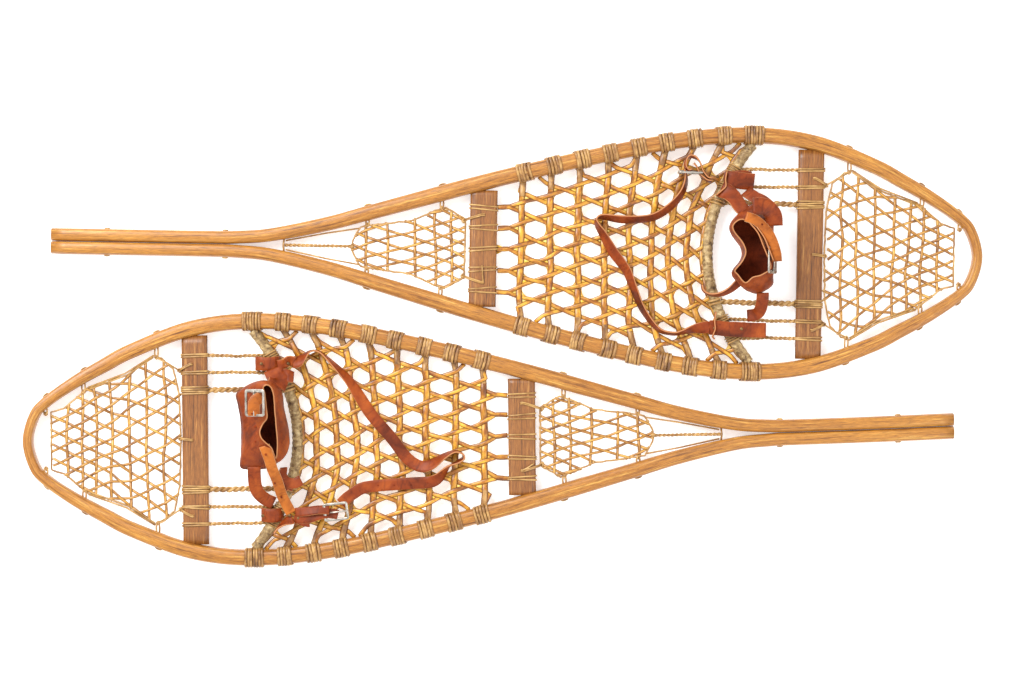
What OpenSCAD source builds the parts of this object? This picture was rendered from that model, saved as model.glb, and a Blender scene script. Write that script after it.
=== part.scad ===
// A pair of long-tailed wooden snowshoes with rawhide webbing and leather bindings, lying toe to tail.
// Each shoe is drawn in its own frame: toe tip at the origin, tail along +X, standing on Z = 0, and a
// wearer who looks towards the toe has the left hand at -Y. placed() lays a shoe in the pair's frame.

/* [Frame] */
// Length of a shoe from toe tip to tail end
shoe_l = 1219; // [1150:1:1300]
// Greatest width over the rails
shoe_w = 331; // [312:1:350]
// Plan width of a rail along the middle of the shoe
rail_w = 21; // [19:0.5:23]
// Plan width of the rail round the toe tip
rail_toe_w = 13; // [11:0.5:15]
// Height of the rails
rail_h = 22; // [20:0.5:25]
// Plan width of each of the two rail ends in the tail
tail_w = 17; // [15:0.5:19]
// Saw-thin gap between the two rail ends
tail_gap = 0.4; // [0.2:0.1:1]

/* [Crossbars] */
// Distance of the toe crossbar's middle from the toe tip
toe_bar_u = 226; // [215:1:235]
// Width of the toe crossbar
toe_bar_w = 34; // [30:1:38]
// Distance of the heel crossbar's middle from the toe tip
heel_bar_u = 654; // [640:1:670]
// Width of the heel crossbar
heel_bar_w = 36; // [30:1:40]
// Thickness of both crossbars
bar_t = 10; // [8:0.5:12]
// Depth of the mortises that hold the crossbars
tenon = 7; // [5:0.5:9]
// Clearance round a tenon in its mortise
tenon_fit = 0.1; // [0.05:0.05:0.3]

/* [Cords] */
// Diameter of the toe cord
toe_cord_d = 15; // [13:0.5:16]
// Distance of the toe cord's ends from the toe tip
toe_cord_end_u = 302; // [295:1:308]
// Distance of the toe cord's middle from the toe tip
toe_cord_mid_u = 360; // [352:1:366]
// Diameter of the two thick tension cords
thick_cord_d = 7; // [6:0.5:8]
// Diameter of the four thin tension cords
thin_cord_d = 4.4; // [3.6:0.2:4.8]
// Diameter of the selvage thongs of the toe and tail webbing
thong_d = 3.6; // [3:0.2:4]
// Diameter of the holes drilled for the thongs
thong_hole_d = 4.4; // [4.2:0.2:5]

/* [Webbing] */
// Width of a strand of the main webbing
lace_w = 5; // [4:0.5:6]
// Thickness of a strand of the main webbing
lace_t = 2; // [1.6:0.1:2.2]
// Distance along the shoe between the main webbing's crosswise strands
main_pitch_x = 37.2; // [35:0.1:38]
// Distance across the shoe between the main webbing's holes
main_pitch_y = 26; // [24:0.5:28]
// Width of a strand of the toe and tail webbing
fine_w = 3; // [2.5:0.1:3.5]
// Distance along the shoe between the fine webbing's crosswise strands
fine_pitch_x = 19; // [17:0.5:22]
// Distance across the shoe between the fine webbing's holes
fine_pitch_y = 17; // [16:0.5:20]
// Width of one rawhide turn round a rail
wrap_w = 17; // [14:0.5:20]
// Thickness of a rawhide turn round a rail
wrap_t = 2.5; // [1.5:0.1:3]
// Turns round each rail
wrap_count = 8; // [8:1:8]

/* [Binding] */
// Distance of each keeper from the shoe's centreline
keeper_y = 99; // [98:0.5:100]
// Width of the keeper's ring round the toe cord
keeper_ring_w = 12; // [10:0.5:12]
// Thickness of the leather
leather_t = 2.6; // [2:0.1:3]
// Width of the toe cup from side to side
cup_w = 117; // [110:1:120]
// Height of the toe cup's band
cup_h = 42; // [38:1:46]
// Length of the toe cup's band
cup_l = 50; // [45:1:55]
// Width of the heel strap
heel_strap_w = 16; // [14:0.5:17]
// Width of the toe buckle
toe_buckle_w = 30; // [28:0.5:32]
// Length of the toe buckle
toe_buckle_l = 33; // [30:0.5:35]
// Width of the heel buckles
heel_buckle_w = 24; // [23:0.5:26]
// Length of the heel buckles
heel_buckle_l = 31; // [28:0.5:34]
// Thickness of the buckle wire
wire_d = 3; // [2.6:0.1:3.2]

/* [Hidden] */
SHOES = ["a", "b"];
PIECES = [
    "frame", "tail_rivets", "toe_crossbar", "heel_crossbar", "toe_cord", "toe_cord_wraps", "tension_cords",
    "bar_lashings", "main_webbing", "rail_wraps", "toe_webbing", "toe_selvage", "tail_webbing",
    "tail_selvage", "thongs", "keeper_left", "keeper_right", "toe_cup", "under_strap", "side_strap",
    "toe_strap", "toe_chape", "binding_rivets", "toe_buckle", "toe_prong", "heel_strap", "heel_chape",
    "strap_end", "heel_buckle", "heel_prong"
];

// Where each shoe's toe tip lies, which way its tail points, and how far its tail end bends sideways
function toe_place(shoe) = shoe == "a" ? [628.5, 116.5, 0] : [-628.5, -124.5, 0];
function heading(shoe) = shoe == "a" ? 178.97 : 0.54;
function tail_bend(shoe) = shoe == "a" ? 0 : 9;

// Levels
rail_z = wrap_t;
mid_z = rail_z + rail_h / 2;
bar_z = mid_z - bar_t / 2;
web_z = mid_z - 1.5 * lace_t;
web_top = web_z + 3 * lace_t;
cord_z = mid_z + 1.5;
tension_z = mid_z - 1.5;
gap = 0.3;

// Outline of the rails' outer edge: share of the length from the toe tip, share of the half width
OUTLINE = [
    [0.0074, 0.218], [0.021, 0.34], [0.051, 0.50], [0.083, 0.64], [0.115, 0.765], [0.18, 0.943],
    [0.249, 1], [0.33, 0.946], [0.438, 0.776], [0.5455, 0.574], [0.653, 0.345], [0.706, 0.23]
];
// The tail: share of the length, and how far the outer edge stands off the finished tail's width
TAIL = [[0.765, 5], [0.80, 1], [0.84, 0], [1, 0]];
// How the rail's plan width changes along the shoe
RAIL_WIDTHS = [[0, rail_toe_w], [0.09, rail_w - 2], [0.2, rail_w], [0.6, rail_w], [0.78, tail_w], [1, tail_w]];
curve_steps = 4;

function outline_points() = concat(
    [for (p = OUTLINE) [p[0] * shoe_l, p[1] * shoe_w / 2]],
    [for (p = TAIL) [p[0] * shoe_l, tail_w + p[1]]]
);
function flip_y(points) = [for (p = points) [p[0], -p[1]]];
function reversed(list) = [for (i = [len(list) - 1:-1:0]) list[i]];
// Point at share t of the way from b to c on a smooth curve through a, b, c and d
function smooth(a, b, c, d, t) =
    b + (c - a) * t / 2 + (2 * a - 5 * b + 4 * c - d) * t * t / 2 + (3 * b - a - 3 * c + d) * t * t * t / 2;
controls = let (side = outline_points())
    concat([[side[0][0], -side[0][1]], [0, 0]], side, [side[len(side) - 1] + [20, 0]]);
outer = concat(
    [for (i = [1:len(controls) - 3], k = [0:curve_steps - 1])
        smooth(controls[i - 1], controls[i], controls[i + 1], controls[i + 2], k / curve_steps)],
    [controls[len(controls) - 2]]
);
function along(i) = i == 0 ? [0, 1] : let (d = outer[min(i + 1, len(outer) - 1)] - outer[i - 1]) d / norm(d);
inner = [for (i = [0:len(outer) - 1])
    let (d = along(i), w = lookup(outer[i][0] / shoe_l, RAIL_WIDTHS), p = outer[i] + w * [d[1], -d[0]])
    [i == len(outer) - 1 ? shoe_l : p[0], i == 0 ? 0 : max(p[1], tail_gap / 2)]];
function outer_half(u) = lookup(u, outer);
function inner_half(u) = lookup(u, inner);
function rail_angle(u) = atan2(outer_half(u + 5) - outer_half(u - 5), 10);

// Sideways shift of the centreline, which bends only behind bend_u
bend_u = 757;
function centre(u, shoe) = tail_bend(shoe) * pow(max(0, u - bend_u) / (shoe_l - bend_u), 2);
function bent(points, shoe) = [for (p = points) [p[0], p[1] + centre(p[0], shoe)]];

// The toe cord's route, and the places along the shoe that follow from it
toe_cord_half = inner_half(toe_cord_end_u) - gap;
function cord_u(y) = toe_cord_mid_u - (toe_cord_mid_u - toe_cord_end_u) * pow(y / toe_cord_half, 2);
function cord_slope(y) = 2 * (toe_cord_mid_u - toe_cord_end_u) * abs(y) / pow(toe_cord_half, 2);
function cord_front(y) = cord_u(y) - toe_cord_d / 2 * sqrt(1 + pow(cord_slope(y), 2));
keeper_u = cord_u(keeper_y);
keeper_slope = cord_slope(keeper_y);
keeper_in = toe_cord_d / 2 * sqrt(1 + pow(keeper_slope, 2)) + keeper_slope * keeper_ring_w / 2 + gap;
keeper_out = keeper_in + leather_t - 0.4;
keeper_top = cord_z + keeper_out;
keeper_l = 45;
keeper_w = 15;
tension_y = [-110.5, -88, -65, 65, 88, 110.5];
function tension_d(y) = abs(y) == 65 ? thick_cord_d : thin_cord_d;
heel_lash_y = [-54, -27, 0, 27, 54];
lash_t = 1.5;
first_wrap_u = toe_cord_end_u + 41;
function wrap_u(k) = first_wrap_u + k * main_pitch_x;

// Corners of the fine webbing: share of the rail's inner half width that the web reaches at each anchor
TOE_CORNERS = [[30, 0.72], [80, 0.9], [176, 0.92]];
TAIL_CORNERS = [[709, 0.88], [806, 0.86]];
tail_web_end = 825;
tail_tip = 915;
toe_web_back = toe_bar_u - toe_bar_w / 2 - 4;
tail_web_front = heel_bar_u + heel_bar_w / 2 + 4;
toe_side = concat(
    [for (c = TOE_CORNERS) [c[0], c[1] * inner_half(c[0])]],
    [[toe_web_back, 0.7 * inner_half(toe_web_back)]]
);
tail_side = concat(
    [[tail_web_front, 0.85 * inner_half(tail_web_front)]],
    [for (c = TAIL_CORNERS) [c[0], c[1] * inner_half(c[0])]],
    [[tail_web_end, 0.5 * inner_half(tail_web_end)]]
);
rivet_u = [992, 1147];

// Binding places: the cup's front lower edge, its sideways shift and its tilt
function cup_place(shoe) = shoe == "a" ? [312, -8.5, 37] : [306, 18, 37];
function cup_tilt(shoe) = shoe == "a" ? 65 : 30;
bar_d = wire_d - 0.4;
prong_w = 2.6;
prong_eye_r = wire_d / 2 + 1.6;
chape_r = bar_d / 2 + 0.3 + leather_t;
function toe_buckle_place(shoe) = shoe == "a" ? [27, 33, cup_h + chape_r + gap] : [34, 46, cup_h + chape_r + gap];
function heel_buckle_place(shoe) = shoe == "a" ? [372, -103, 31] : [397, -96, 31];
function heel_buckle_turn(shoe) = shoe == "a" ? [90, 0, 0] : [12, 0, 6];

// Routes of the heel straps and their loose ends: X, Y, Z and roll, 0 lying flat and 90 on edge
HEEL_ROUTE_A = [
    [356.5, 98, 31.2, 0], [362, 98, 31, 20], [370, 99, 28, 60], [380, 101, 26, 85], [392, 105, 25.2, 90],
    [405, 107, 25, 90], [424, 101, 25, 88], [444, 76, 25, 84], [456, 49, 25, 80], [465, 27, 25, 70],
    [475, 13, 24.5, 52], [485, 0, 24, 45], [498, -22, 25, 70], [505, -33, 25, 86], [507, -39, 25, 90],
    [504, -43, 25, 92], [496, -44, 25, 92], [473, -41, 25, 92], [446, -42, 25, 90], [427, -47, 25, 90],
    [408, -61, 25, 90], [396, -76, 25.5, 90], [392, -90, 27, 90]
];
HEEL_ROUTE_B = [
    [356.5, 101, 31.2, 0], [362, 101, 31, 20], [370, 108, 28, 60], [379, 115, 26, 85], [390, 114, 25.2, 88],
    [402, 104, 25.2, 80], [427, 78, 24.5, 52],
    [442, 55, 22, 25], [458, 30, 20, 10], [485, -2, 19.5, 2], [503, -26, 19.5, 0], [520, -37, 21, 20],
    [535, -35, 23.5, 50], [552, -24, 25, 76], [566, -18, 25, 88], [576, -21, 25, 92], [577, -27, 25, 92],
    [569, -32, 25, 86], [557, -38, 24, 60], [545, -52, 22, 28], [533, -58, 20, 6], [514, -59, 19.5, 0],
    [465, -62, 19.5, 0], [445, -65, 20, 4], [434, -71, 21.5, 6]
];
STRAP_END_A = [
    [370, 43, 33, 90], [363, 54, 33, 90], [352, 60, 33, 90], [341, 60, 33, 90], [329.2, 55.8, 33, 90]
];
STRAP_END_B = [
    [330, -124, 33, 90], [336, -117, 33, 90], [343, -110.5, 33, 90], [349, -108.3, 33, 90], [354.5, -108.3, 33, 90]
];
// Straps between the keepers and the cup
function under_route(shoe) = let (right_u = shoe == "a" ? 338 : 326.5, mid_u = shoe == "a" ? 316 : 311)
    [[326.5, -105, 31, 0], [326.5, -92, 31, 0], [322, -76, 34, 0], [mid_u, -55, 35.2, 0], [mid_u, 0, 35.2, 0],
    [mid_u, 55, 35.2, 0], [right_u, 76, 34, 0], [right_u, 92, 31, 0], [right_u, 105, 31, 0]];
function side_route(shoe) = shoe == "a"
    ? [[346, -89.5, 28, 0], [345, -84, 31, 25], [337, -75, 38, 60], [326, -70.5, 46, 85], [314, -69.2, 54, 90],
        [306, -69, 60, 90]]
    : [[346, 88.4, 28, 0], [346, 85.6, 31, 20], [346, 82, 37, 55], [342, 79.4, 45, 85], [334, 78.8, 53, 90]];
function toe_strap_route(shoe) = shoe == "a"
    ? [[318, 86.4, 28, 0], [312, 81, 34, 0], [304, 68, 42, 0], [298, 58, 51, 0], [296, 53.4, 60, 0]]
    : [[346, -89.5, 28, 0], [345, -79, 33, 0], [341, -64, 41, 0], [337, -50, 50, 0], [335, -43, 59, 0]];

// ---- Shared shapes ----

// A closed skin over rings of equal length
module skin(rings) {
    n = len(rings[0]);
    last = len(rings) - 1;
    points = [for (ring = rings, p = ring) p];
    sides = [for (i = [0:last - 1], k = [0:n - 1], half = [0, 1])
        let (a = i * n + k, b = i * n + (k + 1) % n)
        half == 0 ? [a, a + n, b] : [b, a + n, b + n]];
    start = [for (k = [0:n - 1]) k];
    end = [for (k = [n - 1:-1:0]) last * n + k];
    polyhedron(points, concat(sides, [start, end]));
}

function step_dir(route, i) =
    let (d = route[min(i + 1, len(route) - 1)] - route[max(i - 1, 0)], flat = [d[0], d[1], d[2]]) flat / norm(flat);
function across(dir) = let (c = cross([0, 0, 1], dir)) c / norm(c);

// A round cord through the points of a route
module cord(route, d, sides = 8) {
    skin([for (i = [0:len(route) - 1])
        let (dir = step_dir(route, i), side = across(dir), up = cross(dir, side))
        [for (k = [0:sides - 1])
            route[i] + d / 2 * (cos(k * 360 / sides) * side + sin(k * 360 / sides) * up)]]);
}

// A flat strap through a route whose fourth number is the roll
module strap(route, w, t = leather_t) {
    skin([for (i = [0:len(route) - 1])
        let (
            dir = step_dir(route, i), side = across(dir), up = cross(dir, side), roll = route[i][3],
            wide = cos(roll) * side + sin(roll) * up, thick = cross(dir, wide),
            middle = [route[i][0], route[i][1], route[i][2]]
        )
        [for (corner = [[-1, -1], [1, -1], [1, 1], [-1, 1]])
            middle + corner[0] * w / 2 * wide + corner[1] * t / 2 * thick]]);
}

// Children drawn at a rail: +Y outwards from its outer face, +X along it; side is 1 or -1
module at_rail(u, side, shoe) {
    translate([u, centre(u, shoe), 0])
        mirror([0, side < 0 ? 1 : 0, 0])
            translate([0, outer_half(u), 0])
                rotate([0, 0, rail_angle(u)])
                    children();
}

// A flat band round a bar of width w and height h, centred on it
module band(length, w, h, t, fit) {
    difference() {
        cube([length, w + 2 * (t + fit), h + 2 * t], center = true);
        cube([length + 2, w + 2 * fit, h], center = true);
    }
}

function rounded_rectangle(w, l, r) = [
    for (corner = [[1, 1, 0], [-1, 1, 90], [-1, -1, 180], [1, -1, 270]], a = [0:30:90])
        [corner[0] * (w / 2 - r) + r * cos(corner[2] + a), corner[1] * (l / 2 - r) + r * sin(corner[2] + a)]
];

// Three layers of straight strands: crosswise, and two that lean either way, clipped to an outline
module web(outline, x0, pitch_x, pitch_y, w, t, z, reach, count) {
    lean = atan(pitch_y / 2 / pitch_x);
    translate([0, 0, z])
        linear_extrude(t)
            intersection() {
                polygon(outline);
                for (k = [0:count])
                    translate([x0 + k * pitch_x - w / 2, -reach])
                        square([w, 2 * reach]);
            }
    for (layer = [1, 2])
        translate([0, 0, z + layer * t])
            linear_extrude(t)
                intersection() {
                    polygon(outline);
                    for (m = [-ceil(1.3 * reach / pitch_y):ceil(1.3 * reach / pitch_y)])
                        translate([x0 + pitch_x / 2, (m + 0.5) * pitch_y])
                            rotate(layer == 1 ? lean : -lean)
                                square([4 * reach, w], center = true);
                }
}

// ---- Frame and crossbars ----

module frame_plan(shoe) {
    ring = concat(
        flip_y(reversed(outer)), [for (i = [1:len(outer) - 1]) outer[i]],
        reversed(inner), flip_y([for (i = [1:len(inner) - 1]) inner[i]])
    );
    polygon(bent(ring, shoe));
}

module crossbar(u, w, fit = 0) {
    half = min(inner_half(u - w / 2), inner_half(u + w / 2)) + tenon + fit;
    translate([u - w / 2 - fit, -half, bar_z - fit])
        cube([w + 2 * fit, 2 * half, bar_t + 2 * fit]);
}

module thong_holes(shoe) {
    for (u = concat([for (c = TOE_CORNERS) c[0]], [for (c = TAIL_CORNERS) c[0]]), side = [1, -1])
        at_rail(u, side, shoe)
            translate([0, 5, mid_z])
                rotate([90, 0, 0])
                    cylinder(d = thong_hole_d, h = 35, $fn = 24);
    for (u = rivet_u)
        translate([u, centre(u, shoe) + 40, mid_z])
            rotate([90, 0, 0])
                cylinder(d = thong_hole_d, h = 80, $fn = 24);
}

module frame(shoe) {
    color("burlywood")
        difference() {
            translate([0, 0, rail_z])
                linear_extrude(rail_h)
                    frame_plan(shoe);
            crossbar(toe_bar_u, toe_bar_w, tenon_fit);
            crossbar(heel_bar_u, heel_bar_w, tenon_fit);
            thong_holes(shoe);
        }
}

module tail_rivets(shoe) {
    head_d = 8;
    head_t = 1.5;
    color("darkgoldenrod")
        for (u = rivet_u)
            translate([u, centre(u, shoe), mid_z])
                rotate([90, 0, 0]) {
                    cylinder(d = thong_hole_d - 0.2, h = 2 * outer_half(u) + 2, center = true, $fn = 24);
                    for (side = [1, -1])
                        translate([0, 0, side * (outer_half(u) + 0.5 + head_t / 2)])
                            cylinder(d = head_d, h = head_t, center = true, $fn = 24);
                }
}

bar_hole_y = 99.25;
heel_hole_y = 44;

module toe_crossbar(shoe) {
    color("peru")
        difference() {
            crossbar(toe_bar_u, toe_bar_w);
            for (y = [-bar_hole_y, 0, bar_hole_y])
                translate([toe_bar_u, y, 0])
                    cylinder(d = thong_hole_d, h = 40, $fn = 24);
        }
}

module heel_crossbar(shoe) {
    color("peru")
        difference() {
            crossbar(heel_bar_u, heel_bar_w);
            for (y = [-heel_hole_y, heel_hole_y])
                translate([heel_bar_u, y, 0])
                    cylinder(d = thong_hole_d, h = 40, $fn = 24);
        }
}

// ---- Cords, wraps and lashings ----

module toe_cord(shoe) {
    rings = 16;
    cap = 2;
    reach = toe_cord_half - wrap_t - gap - cap;
    body = [for (i = [0:rings]) let (y = reach * (2 * i / rings - 1)) [cord_u(y), y, cord_z]];
    color("tan")
        cord(concat(
            [body[0] - [0, cap, 0], body[0] - [0, cap - 0.5, 0]], body,
            [body[rings] + [0, cap - 0.5, 0], body[rings] + [0, cap, 0]]
        ), toe_cord_d, 12);
}

module rail_wrap(u, side, w, shoe) {
    at_rail(u, side, shoe)
        translate([0, -rail_w / 2, mid_z])
            band(w, rail_w, rail_h, wrap_t, gap);
}

module toe_cord_wraps(shoe) {
    color("tan")
        for (side = [1, -1], turn = [-1, 1])
            rail_wrap(toe_cord_end_u + turn * (wrap_w + 1) / 2, side, wrap_w, shoe);
}

module rail_wraps(shoe) {
    color("tan")
        for (side = [1, -1], k = [0:wrap_count - 1])
            rail_wrap(wrap_u(k), side, wrap_w, shoe);
}

module tension_cords(shoe) {
    front = toe_bar_u + toe_bar_w / 2 + lash_t + 2 * gap;
    color("goldenrod")
        for (y = tension_y) {
            back = cord_front(abs(y) + tension_d(y) / 2) - gap;
            translate([front, y, tension_z])
                rotate([0, 90, 0])
                    cylinder(d = tension_d(y), h = back - front, $fn = 24);
        }
}

module bar_lashings(shoe) {
    color("goldenrod") {
        for (y = tension_y)
            translate([toe_bar_u, y, mid_z])
                rotate([0, 0, 90])
                    band(tension_d(y) + 3, toe_bar_w, bar_t, lash_t, 0.1);
        for (y = heel_lash_y)
            translate([heel_bar_u, y, mid_z])
                rotate([0, 0, 90])
                    band(10, heel_bar_w, bar_t, lash_t, 0.1);
    }
}

// Knotted thongs: through the rails at the webbing's anchors, and through the crossbars
module thongs(shoe) {
    knot_t = 2;
    rod_d = thong_hole_d - 0.4;
    color("goldenrod") {
        for (c = concat(TOE_CORNERS, TAIL_CORNERS), side = [1, -1])
            at_rail(c[0], side, shoe) {
                reach = outer_half(c[0]) - c[1] * inner_half(c[0]) - thong_d / 2 - gap;
                long = reach * (c[0] < 60 ? 0.72 : 0.86);
                translate([0, 0, mid_z])
                    rotate([90, 0, 0]) {
                        translate([0, 0, -0.5])
                            cylinder(d = rod_d, h = long, $fn = 24);
                        translate([0, 0, -0.5 - knot_t])
                            cylinder(d = 8, h = knot_t, $fn = 24);
                    }
            }
        for (p = [[toe_bar_u, -bar_hole_y], [toe_bar_u, 0], [toe_bar_u, bar_hole_y],
                [heel_bar_u, -heel_hole_y], [heel_bar_u, heel_hole_y]])
            translate([p[0], p[1], bar_z - knot_t]) {
                cylinder(d = rod_d, h = bar_t + 2 * knot_t, $fn = 24);
                cylinder(d = 8, h = knot_t - 0.1, $fn = 24);
                translate([0, 0, bar_t + knot_t + 0.1])
                    cylinder(d = 8, h = knot_t, $fn = 24);
            }
    }
}

// ---- Webbing ----

module main_webbing(shoe) {
    front = [for (i = [-8:8]) let (y = (toe_cord_half - wrap_t - 3 * gap) * i / 8)
        [2 * cord_u(y) - cord_front(y) + gap, y]];
    back_u = heel_bar_u - heel_bar_w / 2 - lash_t - 2 * gap;
    side_u = [for (u = [330:20:610]) u];
    side_gap = wrap_t + 3 * gap;
    right = [for (u = side_u) [u, inner_half(u) - side_gap]];
    outline = concat(
        front, [for (p = right) if (p[0] > front[len(front) - 1][0] + 5) p],
        [[back_u, inner_half(back_u) - side_gap], [back_u, side_gap - inner_half(back_u)]],
        reversed([for (p = flip_y(right)) if (p[0] > front[0][0] + 5) p])
    );
    color("gold")
        difference() {
            web(outline, wrap_u(0), main_pitch_x, main_pitch_y, lace_w, lace_t, web_z, shoe_w / 2, wrap_count - 1);
            for (side = [1, -1])
                translate([keeper_u - 40, side * keeper_y - keeper_ring_w / 2 - 1, 0])
                    cube([40 + keeper_out + 1, keeper_ring_w + 2, 50]);
        }
}

module toe_webbing(shoe) {
    inset = [for (p = toe_side) [p[0], p[1] - 0.8 * thong_d]];
    outline = concat(inset, reversed(flip_y(inset)));
    color("gold")
        intersection() {
            web(outline, 38, fine_pitch_x, fine_pitch_y, fine_w, fine_w / 2, mid_z - 0.75 * fine_w, 0.4 * shoe_w, 8);
            translate([toe_side[0][0] + thong_d / 2, -shoe_w, 0])
                cube([toe_web_back - toe_side[0][0] - thong_d, 2 * shoe_w, 50]);
        }
}

module tail_webbing(shoe) {
    inset = [for (p = tail_side) [p[0], p[1] - thong_d / 2 - 0.1]];
    outline = concat(inset, reversed(flip_y(inset)));
    color("gold")
        intersection() {
            web(outline, tail_web_front + 8, fine_pitch_x, fine_pitch_y, fine_w, fine_w / 2,
                mid_z - 0.75 * fine_w, 0.3 * shoe_w, 8);
            translate([tail_web_front + thong_d / 2, -shoe_w, 0])
                cube([tail_web_end - tail_web_front - thong_d, 2 * shoe_w, 50]);
        }
}

// A closed loop of thong through the corners of an outline, mitred at each
module thong_loop(corners) {
    n = len(corners);
    sides = 8;
    rings = [for (i = [0:n - 1])
        let (
            before = corners[i] - corners[(i + n - 1) % n], after = corners[(i + 1) % n] - corners[i],
            dir = before / norm(before) + after / norm(after), tangent = dir / norm(dir),
            spread = 2 / norm(dir), side = [tangent[1], -tangent[0]]
        )
        [for (k = [0:sides - 1])
            let (reach = thong_d / 2 * spread * cos(k * 360 / sides))
            [corners[i][0] + reach * side[0], corners[i][1] + reach * side[1],
                mid_z + thong_d / 2 * sin(k * 360 / sides)]]];
    points = [for (ring = rings, p = ring) p];
    polyhedron(points, [for (i = [0:n - 1], k = [0:sides - 1], half = [0, 1])
        let (a = i * sides + k, b = i * sides + (k + 1) % sides,
            c = ((i + 1) % n) * sides + k, d = ((i + 1) % n) * sides + (k + 1) % sides)
        half == 0 ? [a, b, c] : [b, d, c]]);
}

// A straight run of thong that stops short of what it is tied to at either end
module thong_run(a, b, short = thong_d / 2 + 0.3) {
    d = b - a;
    translate([a[0], a[1], mid_z])
        rotate([0, 0, atan2(d[1], d[0])])
            translate([short, 0, 0])
                rotate([0, 90, 0])
                    cylinder(d = thong_d, h = norm(d) - 2 * short, $fn = 24);
}

module toe_selvage(shoe) {
    color("goldenrod")
        thong_loop(concat(toe_side, reversed(flip_y(toe_side))));
}

module tail_selvage(shoe) {
    tip = [tail_tip, centre(tail_tip, shoe)];
    tip_half = inner_half(tail_tip) - gap;
    side_y = tail_side[len(tail_side) - 1][1] - 2;
    color("goldenrod") {
        thong_loop(concat(tail_side, reversed(flip_y(tail_side))));
        thong_run([tail_web_end, 0], tip);
        for (side = [1, -1])
            thong_run([tail_web_end, side * side_y], tip + [-2, side * (tip_half - 1)], thong_d / 2 + 0.6);
        thong_run(tip - [0, tip_half], tip + [0, tip_half], 0);
    }
}

// ---- Binding ----

module keeper(side) {
    color("sienna")
        translate([keeper_u, side * keeper_y, cord_z])
            difference() {
                union() {
                    rotate([90, 0, 0])
                        cylinder(r = keeper_out, h = keeper_ring_w, center = true, $fn = 48);
                    translate([-keeper_l / 2, -keeper_w / 2, keeper_out - leather_t])
                        cube([keeper_l, keeper_w, leather_t]);
                }
                rotate([90, 0, 0])
                    cylinder(r = keeper_in, h = keeper_w + 2, center = true, $fn = 48);
            }
}

module keeper_left(shoe) {
    keeper(-1);
}

module keeper_right(shoe) {
    keeper(1);
}

module binding_rivets(shoe) {
    color("silver")
        for (side = [1, -1], end = [1, -1])
            translate([keeper_u + end * (keeper_l / 2 - 5), side * keeper_y, keeper_top])
                cylinder(d = 7, h = 1.6, $fn = 24);
}

module in_cup(shoe) {
    translate(cup_place(shoe))
        rotate([0, -cup_tilt(shoe), 0])
            children();
}

// The band's cross-section, drawn in the cup's own Y and Z
module cup_section(inset) {
    corner_r = 15 - inset;
    translate([0, cup_h / 2])
        polygon(rounded_rectangle(cup_w - 2 * inset, cup_h - 2 * inset, corner_r));
}

module toe_cup(shoe) {
    color("sienna")
        in_cup(shoe)
            difference() {
                rotate([90, 0, 90])
                    linear_extrude(cup_l)
                        difference() {
                            cup_section(0);
                            cup_section(leather_t);
                        }
                translate([cup_l + 6, -20, cup_h / 2])
                    cylinder(r = 22, h = cup_h, $fn = 48);
            }
}

module under_strap(shoe) {
    color("sienna")
        strap(under_route(shoe), 14);
}

module side_strap(shoe) {
    color("saddlebrown")
        strap(side_route(shoe), 18);
}

module toe_strap(shoe) {
    color("peru")
        strap(toe_strap_route(shoe), 16);
}

module strap_end(shoe) {
    color("sienna")
        strap(shoe == "a" ? STRAP_END_A : STRAP_END_B, heel_strap_w);
}

module heel_strap(shoe) {
    color("sienna")
        strap(shoe == "a" ? HEEL_ROUTE_A : HEEL_ROUTE_B, heel_strap_w);
}

// ---- Buckles: the bar lies along Y at the origin and the frame reaches to +X ----

module buckle_frame(w, l) {
    union() {
        linear_extrude(wire_d, center = true)
            difference() {
                translate([l / 2 - wire_d / 2, 0])
                    polygon(rounded_rectangle(l, w, wire_d));
                translate([l / 2 - wire_d / 2 - 0.1, 0])
                    polygon(rounded_rectangle(l - 2 * wire_d, w - 2 * wire_d, 1));
                translate([-l / 2, -w / 2 + wire_d])
                    square([l / 2 + wire_d, w - 2 * wire_d]);
            }
        rotate([90, 0, 0])
            cylinder(d = bar_d, h = w - 2 * wire_d + 2, center = true, $fn = 32);
    }
}

module prong(l) {
    difference() {
        union() {
            rotate([90, 0, 0])
                cylinder(r = prong_eye_r, h = prong_w, center = true, $fn = 32);
            translate([0, -prong_w / 2, wire_d / 2 + 0.1])
                cube([l - wire_d / 2, prong_w, 1.5]);
        }
        rotate([90, 0, 0])
            cylinder(d = bar_d + 0.12, h = prong_w + 2, center = true, $fn = 32);
    }
}

// The fold of leather that holds a buckle's bar, slotted for the prong
module chape(w, back) {
    difference() {
        union() {
            rotate([90, 0, 0])
                cylinder(r = chape_r, h = w, center = true, $fn = 40);
            translate([-back, -w / 2, -chape_r])
                cube([back, w, leather_t]);
        }
        rotate([90, 0, 0])
            cylinder(r = chape_r - leather_t, h = w + 2, center = true, $fn = 32);
        translate([-chape_r - 0.5, -prong_w / 2 - gap, -2 * chape_r])
            cube([4 * chape_r, prong_w + 2 * gap, 4 * chape_r]);
    }
}

module in_toe_buckle(shoe) {
    in_cup(shoe)
        translate(toe_buckle_place(shoe))
            rotate([0, 0, -90])
                children();
}

module in_heel_buckle(shoe) {
    translate(heel_buckle_place(shoe))
        rotate(heel_buckle_turn(shoe))
            children();
}

module toe_chape(shoe) {
    color("sienna")
        in_toe_buckle(shoe)
            chape(toe_buckle_w - 2 * wire_d - 1, 14);
}

module toe_buckle(shoe) {
    color("silver")
        in_toe_buckle(shoe)
            buckle_frame(toe_buckle_w, toe_buckle_l);
}

module toe_prong(shoe) {
    color("silver")
        in_toe_buckle(shoe)
            prong(toe_buckle_l);
}

module heel_chape(shoe) {
    color("sienna")
        in_heel_buckle(shoe)
            chape(heel_buckle_w - 2 * wire_d - 1, shoe == "a" ? 16 : 41);
}

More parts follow.
